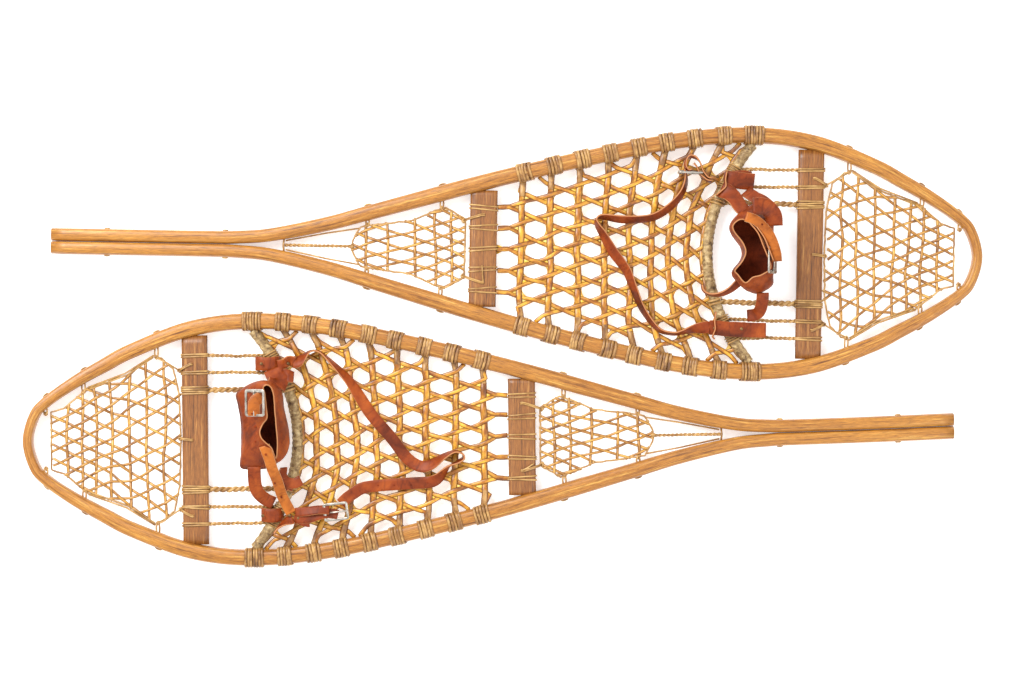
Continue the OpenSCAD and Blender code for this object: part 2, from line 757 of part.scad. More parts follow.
module heel_buckle(shoe) {
    color("silver")
        in_heel_buckle(shoe)
            buckle_frame(heel_buckle_w, heel_buckle_l);
}

module heel_prong(shoe) {
    color("silver")
        in_heel_buckle(shoe)
            prong(heel_buckle_l);
}

// ---- The pair ----

module placed(shoe) {
    translate(toe_place(shoe))
        rotate([0, 0, heading(shoe)])
            children();
}

for (shoe = SHOES)
    placed(shoe) {
        frame(shoe);
        tail_rivets(shoe);
        toe_crossbar(shoe);
        heel_crossbar(shoe);
        toe_cord(shoe);
        toe_cord_wraps(shoe);
        tension_cords(shoe);
        bar_lashings(shoe);
        main_webbing(shoe);
        rail_wraps(shoe);
        toe_webbing(shoe);
        toe_selvage(shoe);
        tail_webbing(shoe);
        tail_selvage(shoe);
        thongs(shoe);
        keeper_left(shoe);
        keeper_right(shoe);
        toe_cup(shoe);
        under_strap(shoe);
        side_strap(shoe);
        toe_strap(shoe);
        toe_chape(shoe);
        binding_rivets(shoe);
        toe_buckle(shoe);
        toe_prong(shoe);
        heel_strap(shoe);
        heel_chape(shoe);
        strap_end(shoe);
        heel_buckle(shoe);
        heel_prong(shoe);
    }
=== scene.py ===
"""Looks for the pair of snowshoes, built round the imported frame. Sizes here are in millimetres in each
shoe's own frame (toe tip at the origin, tail along +X, Y to the wearer's right) until place() lays them."""
import math
import random

import bpy
from mathutils import Matrix, Vector, noise


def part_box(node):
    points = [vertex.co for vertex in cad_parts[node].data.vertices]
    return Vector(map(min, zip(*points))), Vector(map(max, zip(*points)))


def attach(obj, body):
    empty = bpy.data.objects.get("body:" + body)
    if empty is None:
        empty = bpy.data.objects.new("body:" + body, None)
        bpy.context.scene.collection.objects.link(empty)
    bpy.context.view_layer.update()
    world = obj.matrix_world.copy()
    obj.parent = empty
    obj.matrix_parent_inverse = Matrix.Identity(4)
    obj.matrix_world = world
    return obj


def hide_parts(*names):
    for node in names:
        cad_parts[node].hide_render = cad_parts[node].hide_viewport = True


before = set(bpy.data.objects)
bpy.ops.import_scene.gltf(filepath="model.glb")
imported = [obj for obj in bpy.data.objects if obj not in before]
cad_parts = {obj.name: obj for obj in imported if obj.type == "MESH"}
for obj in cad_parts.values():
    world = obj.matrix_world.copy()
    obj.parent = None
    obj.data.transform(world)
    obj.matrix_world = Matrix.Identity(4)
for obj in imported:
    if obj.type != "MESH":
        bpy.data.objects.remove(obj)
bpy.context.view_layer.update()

# ---- The shoe's driving sizes ----
SHOE_L, SHOE_W, RAIL_H, TAIL_W = 1219, 331, 22, 17
OUTLINE = [(0.0074, 0.218), (0.021, 0.34), (0.051, 0.50), (0.083, 0.64), (0.115, 0.765), (0.18, 0.943),
           (0.249, 1), (0.33, 0.946), (0.438, 0.776), (0.5455, 0.574), (0.653, 0.345), (0.706, 0.23)]
TAIL = [(0.765, 5), (0.80, 1), (0.84, 0), (1, 0)]
RAIL_WIDTHS = [(0, 13), (0.09, 19), (0.2, 21), (0.6, 21), (0.78, TAIL_W), (1, TAIL_W)]
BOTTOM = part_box("frame_a")[0].z * 1000
MID_Z = BOTTOM + RAIL_H / 2
TOP_Z = BOTTOM + RAIL_H
CORD_Z = MID_Z + 1.5
HEADING = {"a": math.radians(178.97), "b": math.radians(0.54)}
TOE = {"a": (628.5, 116.5), "b": (-628.5, -124.5)}
BEND = {"a": 0, "b": 9}
BEND_U = 757
TOE_BAR, HEEL_BAR, BAR_T = (226, 34), (654, 36), 10
CORD_BACK, CORD_BOW, CORD_HALF, CORD_R = 360, 58, 144.2, 7.5
KEEPER_Y, LEATHER_T = 99, 2.6
ACROSS = Vector((0, 1, 0))


def lookup(x, table):
    for (x0, y0), (x1, y1) in zip(table, table[1:]):
        if x <= x1:
            return y0 + (y1 - y0) * max(0, (x - x0)) / (x1 - x0)
    return table[-1][1]


def catmull(a, b, c, d, t):
    """The point a share t of the way from b to c on a smooth curve through all four."""
    return (b + (c - a) * t / 2 + (2 * a - 5 * b + 4 * c - d) * t * t / 2
            + (3 * b - a - 3 * c + d) * t ** 3 / 2)


def smooth(points, steps):
    """A smooth curve through the points, ends included."""
    pts = [Vector(p) for p in points]
    pts = [2 * pts[0] - pts[1]] + pts + [2 * pts[-1] - pts[-2]]
    out = []
    for a, b, c, d in zip(pts, pts[1:], pts[2:], pts[3:]):
        out += [catmull(a, b, c, d, k / steps) for k in range(steps)]
    return out + [pts[-2]]


def closed_smooth(points, steps):
    """A smooth closed curve through the points."""
    n = len(points)
    pts = [Vector(p) for p in points]
    return [catmull(pts[i - 1], pts[i], pts[(i + 1) % n], pts[(i + 2) % n], k / steps)
            for i in range(n) for k in range(steps)]


SIDE = [(x * SHOE_L, y * SHOE_W / 2) for x, y in OUTLINE] + [(x * SHOE_L, TAIL_W + y) for x, y in TAIL]
OUTER = smooth([(SIDE[0][0], -SIDE[0][1], 0), (0, 0, 0)] + [(x, y, 0) for x, y in SIDE], 10)[10:]
INNER = []
for i, p in enumerate(OUTER):
    d = Vector((0, 1, 0)) if i == 0 else (OUTER[min(i + 1, len(OUTER) - 1)] - OUTER[i - 1]).normalized()
    q = p + lookup(p.x / SHOE_L, RAIL_WIDTHS) * Vector((d.y, -d.x, 0))
    INNER.append(Vector((q.x if i < len(OUTER) - 1 else SHOE_L, 0 if i == 0 else max(q.y, 0.2), 0)))
OUTER_T = [(p.x, p.y) for p in OUTER]
INNER_T = [(p.x, p.y) for p in INNER]


def outer_half(u):
    return lookup(u, OUTER_T)


def inner_half(u):
    return lookup(u, INNER_T)


def rail_angle(u):
    return math.atan2(outer_half(u + 5) - outer_half(u - 5), 10)


def centre(u, s):
    return BEND[s] * (max(0, u - BEND_U) / (SHOE_L - BEND_U)) ** 2


def place(p, s):
    """A point of a shoe, in millimetres, laid in the pair's frame, in metres."""
    y = p[1] + centre(p[0], s)
    c, n = math.cos(HEADING[s]), math.sin(HEADING[s])
    return Vector((TOE[s][0] + p[0] * c - y * n, TOE[s][1] + p[0] * n + y * c, p[2])) / 1000


def cord_u(y):
    """Where the toe cord's bow lies at a place across the shoe."""
    return CORD_BACK - CORD_BOW * (y / CORD_HALF) ** 2


# ---- Mesh building ----
def frames(points, rolls=None, closed=False):
    """Direction, side and up at each point of a path."""
    out = []
    n = len(points)
    for i in range(n):
        a = points[(i - 1) % n] if closed else points[max(i - 1, 0)]
        b = points[(i + 1) % n] if closed else points[min(i + 1, n - 1)]
        d = (b - a).normalized()
        side = Vector((d.y, -d.x, 0))
        side = side.normalized() if side.length > 0.02 else Vector((1, 0, 0))
        up = side.cross(d).normalized()
        r = math.radians(rolls[i]) if rolls else 0
        out.append((d, side * math.cos(r) + up * math.sin(r), up * math.cos(r) - side * math.sin(r)))
    return out


def flat(w, t, r):
    """Section of a flat strip: points (across, up) and how much each is on the cut edge."""
    top = [(-w / 2 + r, 0), (-w / 4, 0), (0, 0), (w / 4, 0), (w / 2 - r, 0)]
    pts = [(x, t / 2) for x, e in top] + [(w / 2, t / 2 - r), (w / 2, r - t / 2)]
    pts += [(-x, -t / 2) for x, e in top] + [(-w / 2, r - t / 2), (-w / 2, t / 2 - r)]
    return pts, [0] * 5 + [1, 1] + [0] * 5 + [1, 1]


class Part:
    """Collects the meshes of one piece, with each vertex's place along, across and up the grain."""

    def __init__(self, shoe):
        self.shoe, self.verts, self.faces, self.flow, self.mark = shoe, [], [], [], []
        self.shift = 0

    def skin(self, rings, flows, marks, closed=False, caps=True):
        base, n, m = len(self.verts), len(rings), len(rings[0])
        self.shift += 0.137
        for ring, flow, mark in zip(rings, flows, marks):
            self.verts += ring
            self.flow += [(f[0] / 1000 + self.shift, f[1] / 1000, f[2] / 1000) for f in flow]
            self.mark += mark
        for i in range(n if closed else n - 1):
            j = (i + 1) % n
            for k in range(m):
                l = (k + 1) % m
                self.faces.append((base + i * m + k, base + i * m + l, base + j * m + l, base + j * m + k))
        if caps and not closed:
            self.faces.append(tuple(base + k for k in reversed(range(m))))
            self.faces.append(tuple(base + (n - 1) * m + k for k in range(m)))

    def sweep(self, points, section, marks, rolls=None, closed=False, scale=None, along0=0):
        points = [Vector(p) for p in points]
        fr = frames(points, rolls, closed)
        rings, flows, mk, along = [], [], [], along0
        for i, (p, (d, side, up)) in enumerate(zip(points, fr)):
            if i:
                along += (p - points[i - 1]).length
            sx, sy = scale[i] if scale else (1, 1)
            rings.append([p + side * x * sx + up * y * sy for x, y in section])
            flows.append([(along, x * sx, y * sy) for x, y in section])
            mk.append(list(marks))
        self.skin(rings, flows, mk, closed)

    def tube(self, points, r, sides=8, closed=False, scale=None):
        sec = [(r * math.cos(2 * math.pi * k / sides), r * math.sin(2 * math.pi * k / sides))
               for k in range(sides)]
        self.sweep(points, sec, [0] * sides, None, closed, scale)

    def band(self, points, mid, across, section, marks, step):
        """A closed turn of lace or leather, whose section keeps one side along a fixed direction."""
        rings, flows = [], []
        for i, p in enumerate(points):
            d = (points[(i + 1) % len(points)] - points[i - 1]).normalized()
            out = across.cross(d).normalized()
            if out.dot(p - mid) < 0:
                out = -out
            rings.append([p + across * x + out * z for x, z in section])
            flows.append([(i * step, x, z) for x, z in section])
        self.skin(rings, flows, [marks] * len(points), closed=True)

    def strand(self, points, w, t):
        """A lace with a raised middle; its mark runs from 0 along the middle to 1 at the edges."""
        sec = [(-w / 2, 0), (-w * 0.36, t * 0.42), (0, t / 2), (w * 0.36, t * 0.42),
               (w / 2, 0), (w * 0.36, -t * 0.42), (0, -t / 2), (-w * 0.36, -t * 0.42)]
        wob = [(1 + 0.16 * noise.noise(Vector(p) * 0.11), 1) for p in points]
        self.sweep(points, sec, [1, 0.75, 0, 0.75, 1, 0.75, 0, 0.75], None, False, wob)

    def rope(self, a, b, d, pitch=13, droop=0, strands=2):
        """Twisted lace from a to b."""
        a, b = Vector(a), Vector(b)
        n = max(6, int((b - a).length / 1.8))
        along = (b - a).normalized()
        side = Vector((along.y, -along.x, 0)).normalized()
        up = side.cross(along)
        for k in range(strands):
            pts = []
            for i in range(n + 1):
                t = i / n
                ang = 2 * math.pi * (t * (b - a).length / pitch + k / strands)
                wob = noise.noise(Vector((a.x * 0.1, a.y * 0.1, t * 5))) * 1.4 * math.sin(math.pi * t)
                pts.append(a + (b - a) * t + side * (math.cos(ang) * d * 0.23 + wob)
                           + up * (math.sin(ang) * d * 0.23 - droop * math.sin(math.pi * t)))
            self.tube(pts, d * 0.29, 7, False, [(1 + 0.15 * noise.noise(p * 0.2), 1) for p in pts])

    def knot(self, p, r, size=1.3, turn=0):
        """A small overhand knot: two crossed turns."""
        p = Vector(p)
        for k in (0, 1):
            rot = Matrix.Rotation(turn + k * 1.3, 3, "Z") @ Matrix.Rotation(0.9 - 1.7 * k, 3, "X")
            self.tube([p + rot @ Vector((r * math.cos(a), r * 0.8 * math.sin(a), 0))
                       for a in [2 * math.pi * i / 12 for i in range(12)]], size, 6, True)

    def done(self, name, mat, body, nodes, slot):
        me = bpy.data.meshes.new(name)
        me.from_pydata([place(v, self.shoe) for v in self.verts], [], self.faces)
        me.attributes.new("flow", "FLOAT_VECTOR", "POINT").data.foreach_set(
            "vector", [c for f in self.flow for c in f])
        me.attributes.new("mark", "FLOAT", "POINT").data.foreach_set("value", self.mark)
        me.polygons.foreach_set("use_smooth", [True] * len(me.polygons))
        me.update()
        ob = bpy.data.objects.new(name, me)
        bpy.context.scene.collection.objects.link(ob)
        me.materials.append(mat)
        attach(ob, f"{body}_{self.shoe}")
        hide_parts(*[f"{n}_{self.shoe}" for n in nodes])


# ---- Materials ----
def rgb(r, g, b):
    """sRGB 0-255 to linear."""
    return tuple(((c / 255 + 0.055) / 1.055) ** 2.4 if c > 10 else c / 3295 for c in (r, g, b)) + (1,)


class Mat:
    def __init__(self, name, rough, metal=0, spec=0.5, coat=0):
        self.mat = bpy.data.materials.new(name)
        self.mat.use_nodes = True
        self.nt = self.mat.node_tree
        self.bsdf = self.nt.nodes["Principled BSDF"]
        self.bsdf.inputs["Roughness"].default_value = rough
        self.bsdf.inputs["Metallic"].default_value = metal
        self.bsdf.inputs["Specular IOR Level"].default_value = spec
        self.bsdf.inputs["Coat Weight"].default_value = coat
        self.bsdf.inputs["Coat Roughness"].default_value = 0.25

    def link(self, a, b):
        self.nt.links.new(a, b)

    def attr(self, name):
        n = self.nt.nodes.new("ShaderNodeAttribute")
        n.attribute_name = name
        return n.outputs["Vector" if name == "flow" else "Fac"]

    def noise(self, scale, stretch=(1, 1, 1), detail=4, rough=0.55, distort=0, source="flow"):
        m = self.nt.nodes.new("ShaderNodeMapping")
        m.inputs["Scale"].default_value = stretch
        if source == "flow":
            self.link(self.attr("flow"), m.inputs["Vector"])
        else:
            self.link(self.nt.nodes.new("ShaderNodeTexCoord").outputs["Object"], m.inputs["Vector"])
        n = self.nt.nodes.new("ShaderNodeTexNoise")
        n.inputs["Scale"].default_value = scale
        n.inputs["Detail"].default_value = detail
        n.inputs["Roughness"].default_value = rough
        n.inputs["Distortion"].default_value = distort
        self.link(m.outputs["Vector"], n.inputs["Vector"])
        return n.outputs["Fac"]

    def ramp(self, value, stops):
        n = self.nt.nodes.new("ShaderNodeValToRGB")
        el = n.color_ramp.elements
        while len(el) < len(stops):
            el.new(0.5)
        for e, (pos, col) in zip(el, stops):
            e.position = pos
            e.color = col if len(col) == 4 else col + (1,)
        self.link(value, n.inputs["Fac"])
        return n.outputs["Color"]

    def mix(self, a, b, fac, kind="MIX"):
        n = self.nt.nodes.new("ShaderNodeMix")
        n.data_type, n.blend_type = "RGBA", kind
        for sock, v in ((n.inputs[6], a), (n.inputs[7], b), (n.inputs[0], fac)):
            if isinstance(v, (int, float, tuple)):
                sock.default_value = v
            else:
                self.link(v, sock)
        return n.outputs[2]

    def bump(self, height, strength, distance=0.001):
        n = self.nt.nodes.new("ShaderNodeBump")
        n.inputs["Strength"].default_value = strength
        n.inputs["Distance"].default_value = distance
        self.link(height, n.inputs["Height"])
        self.link(n.outputs["Normal"], self.bsdf.inputs["Normal"])

    def base(self, colour):
        self.link(colour, self.bsdf.inputs["Base Color"])

    def shine(self, value, lo, hi):
        self.link(self.ramp(value, [(0.3, (lo,) * 3), (0.7, (hi,) * 3)]), self.bsdf.inputs["Roughness"])


def wood(name, dark, middle, light, spread):
    m = Mat(name, 0.4, coat=0.25)
    grain = m.noise(10, (1.2, 40, 26), 6, 0.6, 0.6)
    fine = m.noise(60, (1.5, 40, 30), 3, 0.7)
    patch = m.noise(7, (1, 2.5, 2.5), 3)
    c = m.ramp(grain, [(0.33, dark), (0.45, middle), (0.56, middle), (0.68, light)])
    c = m.mix(c, m.ramp(fine, [(0.35, rgb(120, 88, 56)), (0.6, rgb(255, 250, 240))]), 0.75, "MULTIPLY")
    c = m.mix(c, m.ramp(patch, [(0.3, rgb(190, 160, 130)), (0.7, rgb(255, 255, 255))]), spread, "MULTIPLY")
    m.base(c)
    m.shine(patch, 0.32, 0.5)
    m.bump(fine, 0.25, 0.0006)
    return m.mat


def hide(name, edge, middle, light, stripe, bump, rough=0.38, along=14):
    """Rawhide: darker along its edges, cloudy along its length, with fine fibres."""
    m = Mat(name, rough, coat=0.3)
    cloud = m.noise(60, (1, 2, 2), 5, 0.7, 0.5)
    fibre = m.noise(along, (1, stripe, stripe), 4, 0.65, 0.3)
    c = m.ramp(cloud, [(0.3, edge), (0.44, middle), (0.6, light)])
    c = m.mix(c, edge, m.ramp(m.attr("mark"), [(0.4, (0, 0, 0)), (1, (0.9, 0.9, 0.9))]))
    c = m.mix(c, m.ramp(fibre, [(0.34, rgb(150, 105, 60)), (0.58, rgb(255, 255, 255))]), 0.7, "MULTIPLY")
    m.base(c)
    m.bump(fibre, bump, 0.0008)
    return m.mat


def leather(name, dark, middle, light, edge):
    m = Mat(name, 0.5, spec=0.25, coat=0.04)
    cloud = m.noise(26, (1, 1, 1), 5, 0.6, 0.4, "object")
    pores = m.noise(900, (1, 1, 1), 2, 0.6, 0, "object")
    crease = m.noise(60, (1.6, 0.7, 0.7), 5, 0.7, 1.2)
    c = m.ramp(cloud, [(0.28, dark), (0.5, middle), (0.74, light)])
    c = m.mix(c, m.ramp(crease, [(0.36, rgb(140, 110, 95)), (0.5, rgb(255, 255, 255))]), 0.5, "MULTIPLY")
    c = m.mix(c, edge, m.ramp(m.attr("mark"), [(0.45, (0, 0, 0)), (0.8, (1, 1, 1))]))
    m.base(c)
    m.shine(cloud, 0.4, 0.58)
    m.bump(pores, 0.18, 0.0004)
    return m.mat


M = {
    "ash": wood("ash", rgb(128, 76, 20), rgb(204, 140, 52), rgb(244, 194, 98), 0.45),
    "dark_ash": wood("dark_ash", rgb(92, 54, 22), rgb(164, 106, 46), rgb(206, 150, 80), 0.5),
    "rawhide": hide("rawhide", rgb(112, 62, 8), rgb(184, 112, 16), rgb(240, 182, 54), 10, 0.7),
    # Painted light: the film's bright amber-yellow stands for light seen through the weave's gaps and is made
    # lighter to offset the shade the film lies in.
    "skin": hide("skin", rgb(200, 124, 14), rgb(250, 190, 44), rgb(255, 234, 128), 6, 0.4),
    "fine_rawhide": hide("fine_rawhide", rgb(112, 70, 20), rgb(180, 122, 42), rgb(230, 178, 84), 12, 0.5),
    "rawhide_wrap": hide("rawhide_wrap", rgb(106, 70, 32), rgb(154, 108, 54), rgb(202, 158, 92),
                         16, 0.7, 0.45),
    "thong": hide("thong", rgb(150, 108, 50), rgb(176, 132, 68), rgb(214, 172, 106), 10, 0.5, 0.45),
    "leather": leather("leather", rgb(74, 24, 5), rgb(134, 54, 12), rgb(180, 88, 28), rgb(186, 126, 80)),
    "tan_leather": leather("tan_leather", rgb(124, 58, 12), rgb(182, 100, 32), rgb(212, 136, 56),
                           rgb(206, 160, 118)),
}


def bound_cord():
    m = Mat("bound_cord", 0.6, coat=0.05)
    blot = m.noise(110, (0.9, 1, 1), 5, 0.7, 0.8)
    turns = m.noise(90, (3, 0.8, 0.8), 4, 0.6)
    c = m.ramp(blot, [(0.34, rgb(72, 54, 34)), (0.43, rgb(146, 118, 76)), (0.54, rgb(188, 162, 114)),
                      (0.66, rgb(226, 206, 162))])
    m.base(m.mix(c, m.ramp(turns, [(0.35, rgb(158, 132, 98)), (0.6, rgb(255, 250, 240))]), 0.7, "MULTIPLY"))
    m.bump(turns, 0.8, 0.0012)
    return m.mat


def metal(name, dark, light, rough):
    m = Mat(name, rough, metal=1)
    wear = m.noise(120, (1, 1, 1), 4, 0.6, 0, "object")
    m.base(m.ramp(wear, [(0.35, dark), (0.65, light)]))
    m.shine(wear, rough, rough + 0.15)
    m.bump(wear, 0.08, 0.0003)
    return m.mat


M["bound_cord"] = bound_cord()
M["nickel"] = metal("nickel", rgb(150, 142, 130), rgb(210, 204, 194), 0.24)
M["old_brass"] = metal("old_brass", rgb(84, 60, 40), rgb(146, 112, 76), 0.42)


# ---- Frame and crossbars ----
def build_frame(s):
    part = Part(s)
    corner = [(0, 0.42), (0.03, 0.2), (0.1, 0.07), (0.24, 0.012), (0.5, 0)]
    sec = corner + [(1 - a, b) for a, b in reversed(corner[:-1])]
    sec += [(1 - a, 1 - b) for a, b in corner] + [(a, 1 - b) for a, b in reversed(corner[:-1])]
    rings, flows, along = [], [], 0
    path = [(OUTER[i], INNER[i], -1) for i in range(len(OUTER) - 1, 0, -1)]
    path += [(OUTER[i], INNER[i], 1) for i in range(len(OUTER))]
    last = None
    for o, i, side in path:
        o, i = Vector((o.x, side * o.y, 0)), Vector((i.x, side * i.y, 0))
        if last:
            along += (o - last).length
        last = o
        ring, flow = [], []
        for a, b in sec:
            z = BOTTOM + RAIL_H * (1 - b)
            p = o.lerp(i, a)
            p.z = z
            ring.append(p)
            flow.append((along, a * 20, z))
        rings.append(ring)
        flows.append(flow)
    part.skin(rings, flows, [[0] * len(sec)] * len(rings))
    part.done(f"stave_{s}", M["ash"], "deck", ["frame"], "ash")


def build_bar(s, name, u, w):
    part = Part(s)
    half = min(inner_half(u - w / 2), inner_half(u + w / 2)) + 5
    pts = [(u, -half + 2 * half * i / 24, MID_Z) for i in range(25)]
    sec, mk = flat(w - 0.4, BAR_T - 0.2, 2.4)
    part.sweep(pts, sec, [0] * len(sec))
    part.done(f"{name}_{s}_wood", M["dark_ash"], "deck", [name], "dark_ash")


def rail_loop(u, side, t, skew):
    """Centreline of one turn of lace round a rail."""
    a = rail_angle(u)
    w = lookup(u / SHOE_L, RAIL_WIDTHS)
    o = Vector((u, outer_half(u), 0))
    tang, norm = Vector((math.cos(a), math.sin(a), 0)), Vector((-math.sin(a), math.cos(a), 0))
    mid = o - norm * w / 2
    pts = []
    for k in range(24):
        q = 2 * math.pi * k / 24
        c, n = math.cos(q), math.sin(q)
        f = (abs(c) ** 5 + abs(n) ** 5) ** (-1 / 5)
        x, z = f * c * (w / 2 + t), f * n * (RAIL_H / 2 + t)
        p = mid + norm * x + tang * skew * math.sin(q)
        pts.append(Vector((p.x, side * p.y, MID_Z + z)))
    return pts


def wrap(part, u, side, count, w, t, rng):
    """Turns of lace, side by side, round a rail."""
    a = rail_angle(u)
    tang = Vector((math.cos(a), side * math.sin(a), 0))
    skew = rng.uniform(-2.6, 2.6)
    for k in range(count):
        off = (k - (count - 1) / 2) * w
        pts = rail_loop(u + off * math.cos(a) + rng.uniform(-0.35, 0.35), side,
                        t / 2 + rng.uniform(-0.25, 0.15), skew + rng.uniform(-0.7, 0.7))
        sec = [(-w / 2, 0), (-w * 0.34, t * 0.42), (0, t / 2), (w * 0.34, t * 0.42),
               (w / 2, 0), (w * 0.34, -t * 0.3), (0, -t * 0.3), (-w * 0.34, -t * 0.3)]
        mid = sum(pts, Vector()) / len(pts)
        part.band(pts, mid, tang, sec, [0.72, 0.3, 0, 0.3, 0.72, 0.3, 0, 0.3], 4.2)


# Places of the lace's turns, and of the toe cord's, along the rails
WRAPS = [343 + 37.2 * k for k in range(8)]
CORD_WRAP = 302


def build_wraps(s):
    rng = random.Random(11 if s == "a" else 12)
    part = Part(s)
    for side in (1, -1):
        for u in WRAPS:
            wrap(part, u, side, 5, 3.9, 2.2, rng)
    part.done(f"rail_turns_{s}", M["rawhide_wrap"], "deck", ["rail_wraps"], "rawhide_wrap")
    part = Part(s)
    for side in (1, -1):
        wrap(part, CORD_WRAP, side, 7, 3.6, 2.4, rng)
    part.done(f"cord_turns_{s}", M["rawhide_wrap"], "deck", ["toe_cord_wraps"], "rawhide_wrap")


# ---- Webbing ----
MAIN_U = [(-1, 306), (0, 343), (1, 380.2), (2, 417.4), (3, 454.6), (4, 491.8), (5, 529), (6, 566.2),
          (7, 603.4), (8, 637)]
MAIN_BOW = [(-1, 60), (0, 44), (1, 31), (2, 18), (3, 9), (4, 4), (5, 1), (6, 0), (8, 0)]
MAIN_P = [(-1, 33), (0, 31), (1, 30), (2, 28), (3, 26.5), (4, 26), (6, 26), (7.5, 27), (8, 27)]
TOE_U = [(-1, 20), (0, 39), (1, 59), (2, 78), (3, 95.5), (4, 115), (5, 140), (6, 164), (7, 186), (8, 205)]
TOE_P = [(-1, 17), (0, 18), (2, 18.5), (4, 20), (5, 23), (6, 24.5), (7, 26), (8, 26)]
TAIL_U = [(-1, 660), (0, 678), (1, 696), (2, 717), (3, 744), (4, 779), (5, 807), (6, 826)]
TAIL_P = [(-1, 16), (1, 16), (2, 17), (3, 18), (4, 19), (6, 16)]
TOE_EDGE = [(37, 0), (37, 38), (54, 43), (86, 70), (110, 76), (137, 86), (172, 111), (183, 107), (198, 93),
            (205, 60), (207, 0)]
TAIL_EDGE = [(678, 0), (678, 38), (704, 53), (719, 48), (748, 35), (787, 30), (815, 26), (825, 8), (826, 0)]


def web_map(grid, bow, pitch, jitter, seed):
    """Turns a place in the weave, counted in strands, into a place on the shoe."""
    def at(x, y):
        u = lookup(x, grid)
        v = y * lookup(x, pitch)
        if bow:
            u += lookup(x, bow) * (1 - min(1, (v / inner_half(u)) ** 2))
        k = Vector((u * 0.021, v * 0.021, seed))
        return u + jitter * noise.noise(k), v + jitter * noise.noise(k + Vector((7, 3, 9)))
    return at


def inside_main(u, v):
    return u > cord_u(v) + 4 and abs(v) < inner_half(u) - 11 and u < 636.5


def gather(run):
    """Leads the ends of a strand that reach a rail to the next turn of lace on it."""
    out = list(run)
    for at_end in (False, True):
        u, v, z = out[-1] if at_end else out[0]
        if inner_half(u) - abs(v) < 14.5 and u < 630 and len(out) > 8:
            before = out[-6] if at_end else out[5]
            du, dv = u - before[0], v - before[1]
            steep = abs(dv) > 2.5 * abs(du)
            near = [w for w in [CORD_WRAP] + WRAPS if steep or (w - u) * du > -3]
            w = min(near or WRAPS, key=lambda x: abs(x - u))
            if abs(w - u) > 26:
                w = u + math.copysign(12, du)
            to = math.copysign(inner_half(w) + 0.5, v)
            add = [(u + (w - u) * t, v + (to - v) * t ** 1.2, z * (1 - t)) for t in (0.25, 0.5, 0.75, 1)]
            out = out + add if at_end else add[::-1] + out
    return out


def edge_inside(edge):
    first, last = edge[0][0], edge[-1][0]

    def test(u, v):
        return first < u < last and abs(v) < min(lookup(u, edge[1:-1]), inner_half(u) - 4)
    return test


def runs(at, path, inside):
    """The stretches of a strand that lie inside the web's outline."""
    out, run = [], []
    for x, y, z in path:
        u, v = at(x, y)
        if inside(u, v):
            run.append((u, v, z))
        elif run:
            out.append(run)
            run = []
    if run:
        out.append(run)
    return [r for r in out if len(r) > 3]


def weave(part, at, inside, rows, columns, widths, t, rise, bundle=None, sleeves=None):
    """Three families of laces, each over one of the others and under the next."""
    ends = []
    step = 0.07
    for k in range(rows[0], rows[1] + 1):
        path = [(k, columns * (2 * i / 300 - 1), 0) for i in range(301)]
        path = [(x, y, -rise * math.cos(2 * math.pi * (y - k / 2 - 0.25))) for x, y, z in path]
        for run in runs(at, path, inside):
            if bundle:
                run = gather(run)
                for end in (run, run[::-1]):
                    if inner_half(end[0][0]) - abs(end[0][1]) < 3 and end[0][0] < 620:
                        sleeves.append([p for p in end if math.dist(p[:2], end[0][:2]) < 21])
            part.strand([(u, v, MID_Z + z) for u, v, z in run], widths[0], t)
            ends += [run[0], run[-1]]
    for lean in (1, -1):
        for m in range(-columns * 3, columns * 3 + 1):
            path = []
            x = rows[0] - 1
            while x <= rows[1] + 1.02:
                xx = min(x, bundle) if bundle else x
                y = m + 0.5 + lean * 0.5 * (xx - 0.5)
                if bundle and x > bundle:
                    y = round(y) + (y - round(y)) * 0.45
                path.append((x, y, lean * rise * math.cos(2 * math.pi * xx)))
                x += step
            for run in runs(at, path, inside):
                run = gather(run) if bundle else run
                part.strand([(u, v, MID_Z + z) for u, v, z in run], widths[1], t)
                ends += [run[0], run[-1]]
    return ends


def edge_reach(mid, corners, way):
    """How far it is from mid to the polygon's edge in a direction."""
    best = 1e9
    for a, b in zip(corners, corners[1:] + corners[:1]):
        side = b - a
        den = way.x * side.y - way.y * side.x
        if abs(den) > 1e-9:
            gap = a - mid
            t = (gap.x * side.y - gap.y * side.x) / den
            q = (gap.x * way.y - gap.y * way.x) / den
            if t > 0 and -1e-6 <= q <= 1 + 1e-6:
                best = min(best, t)
    return best


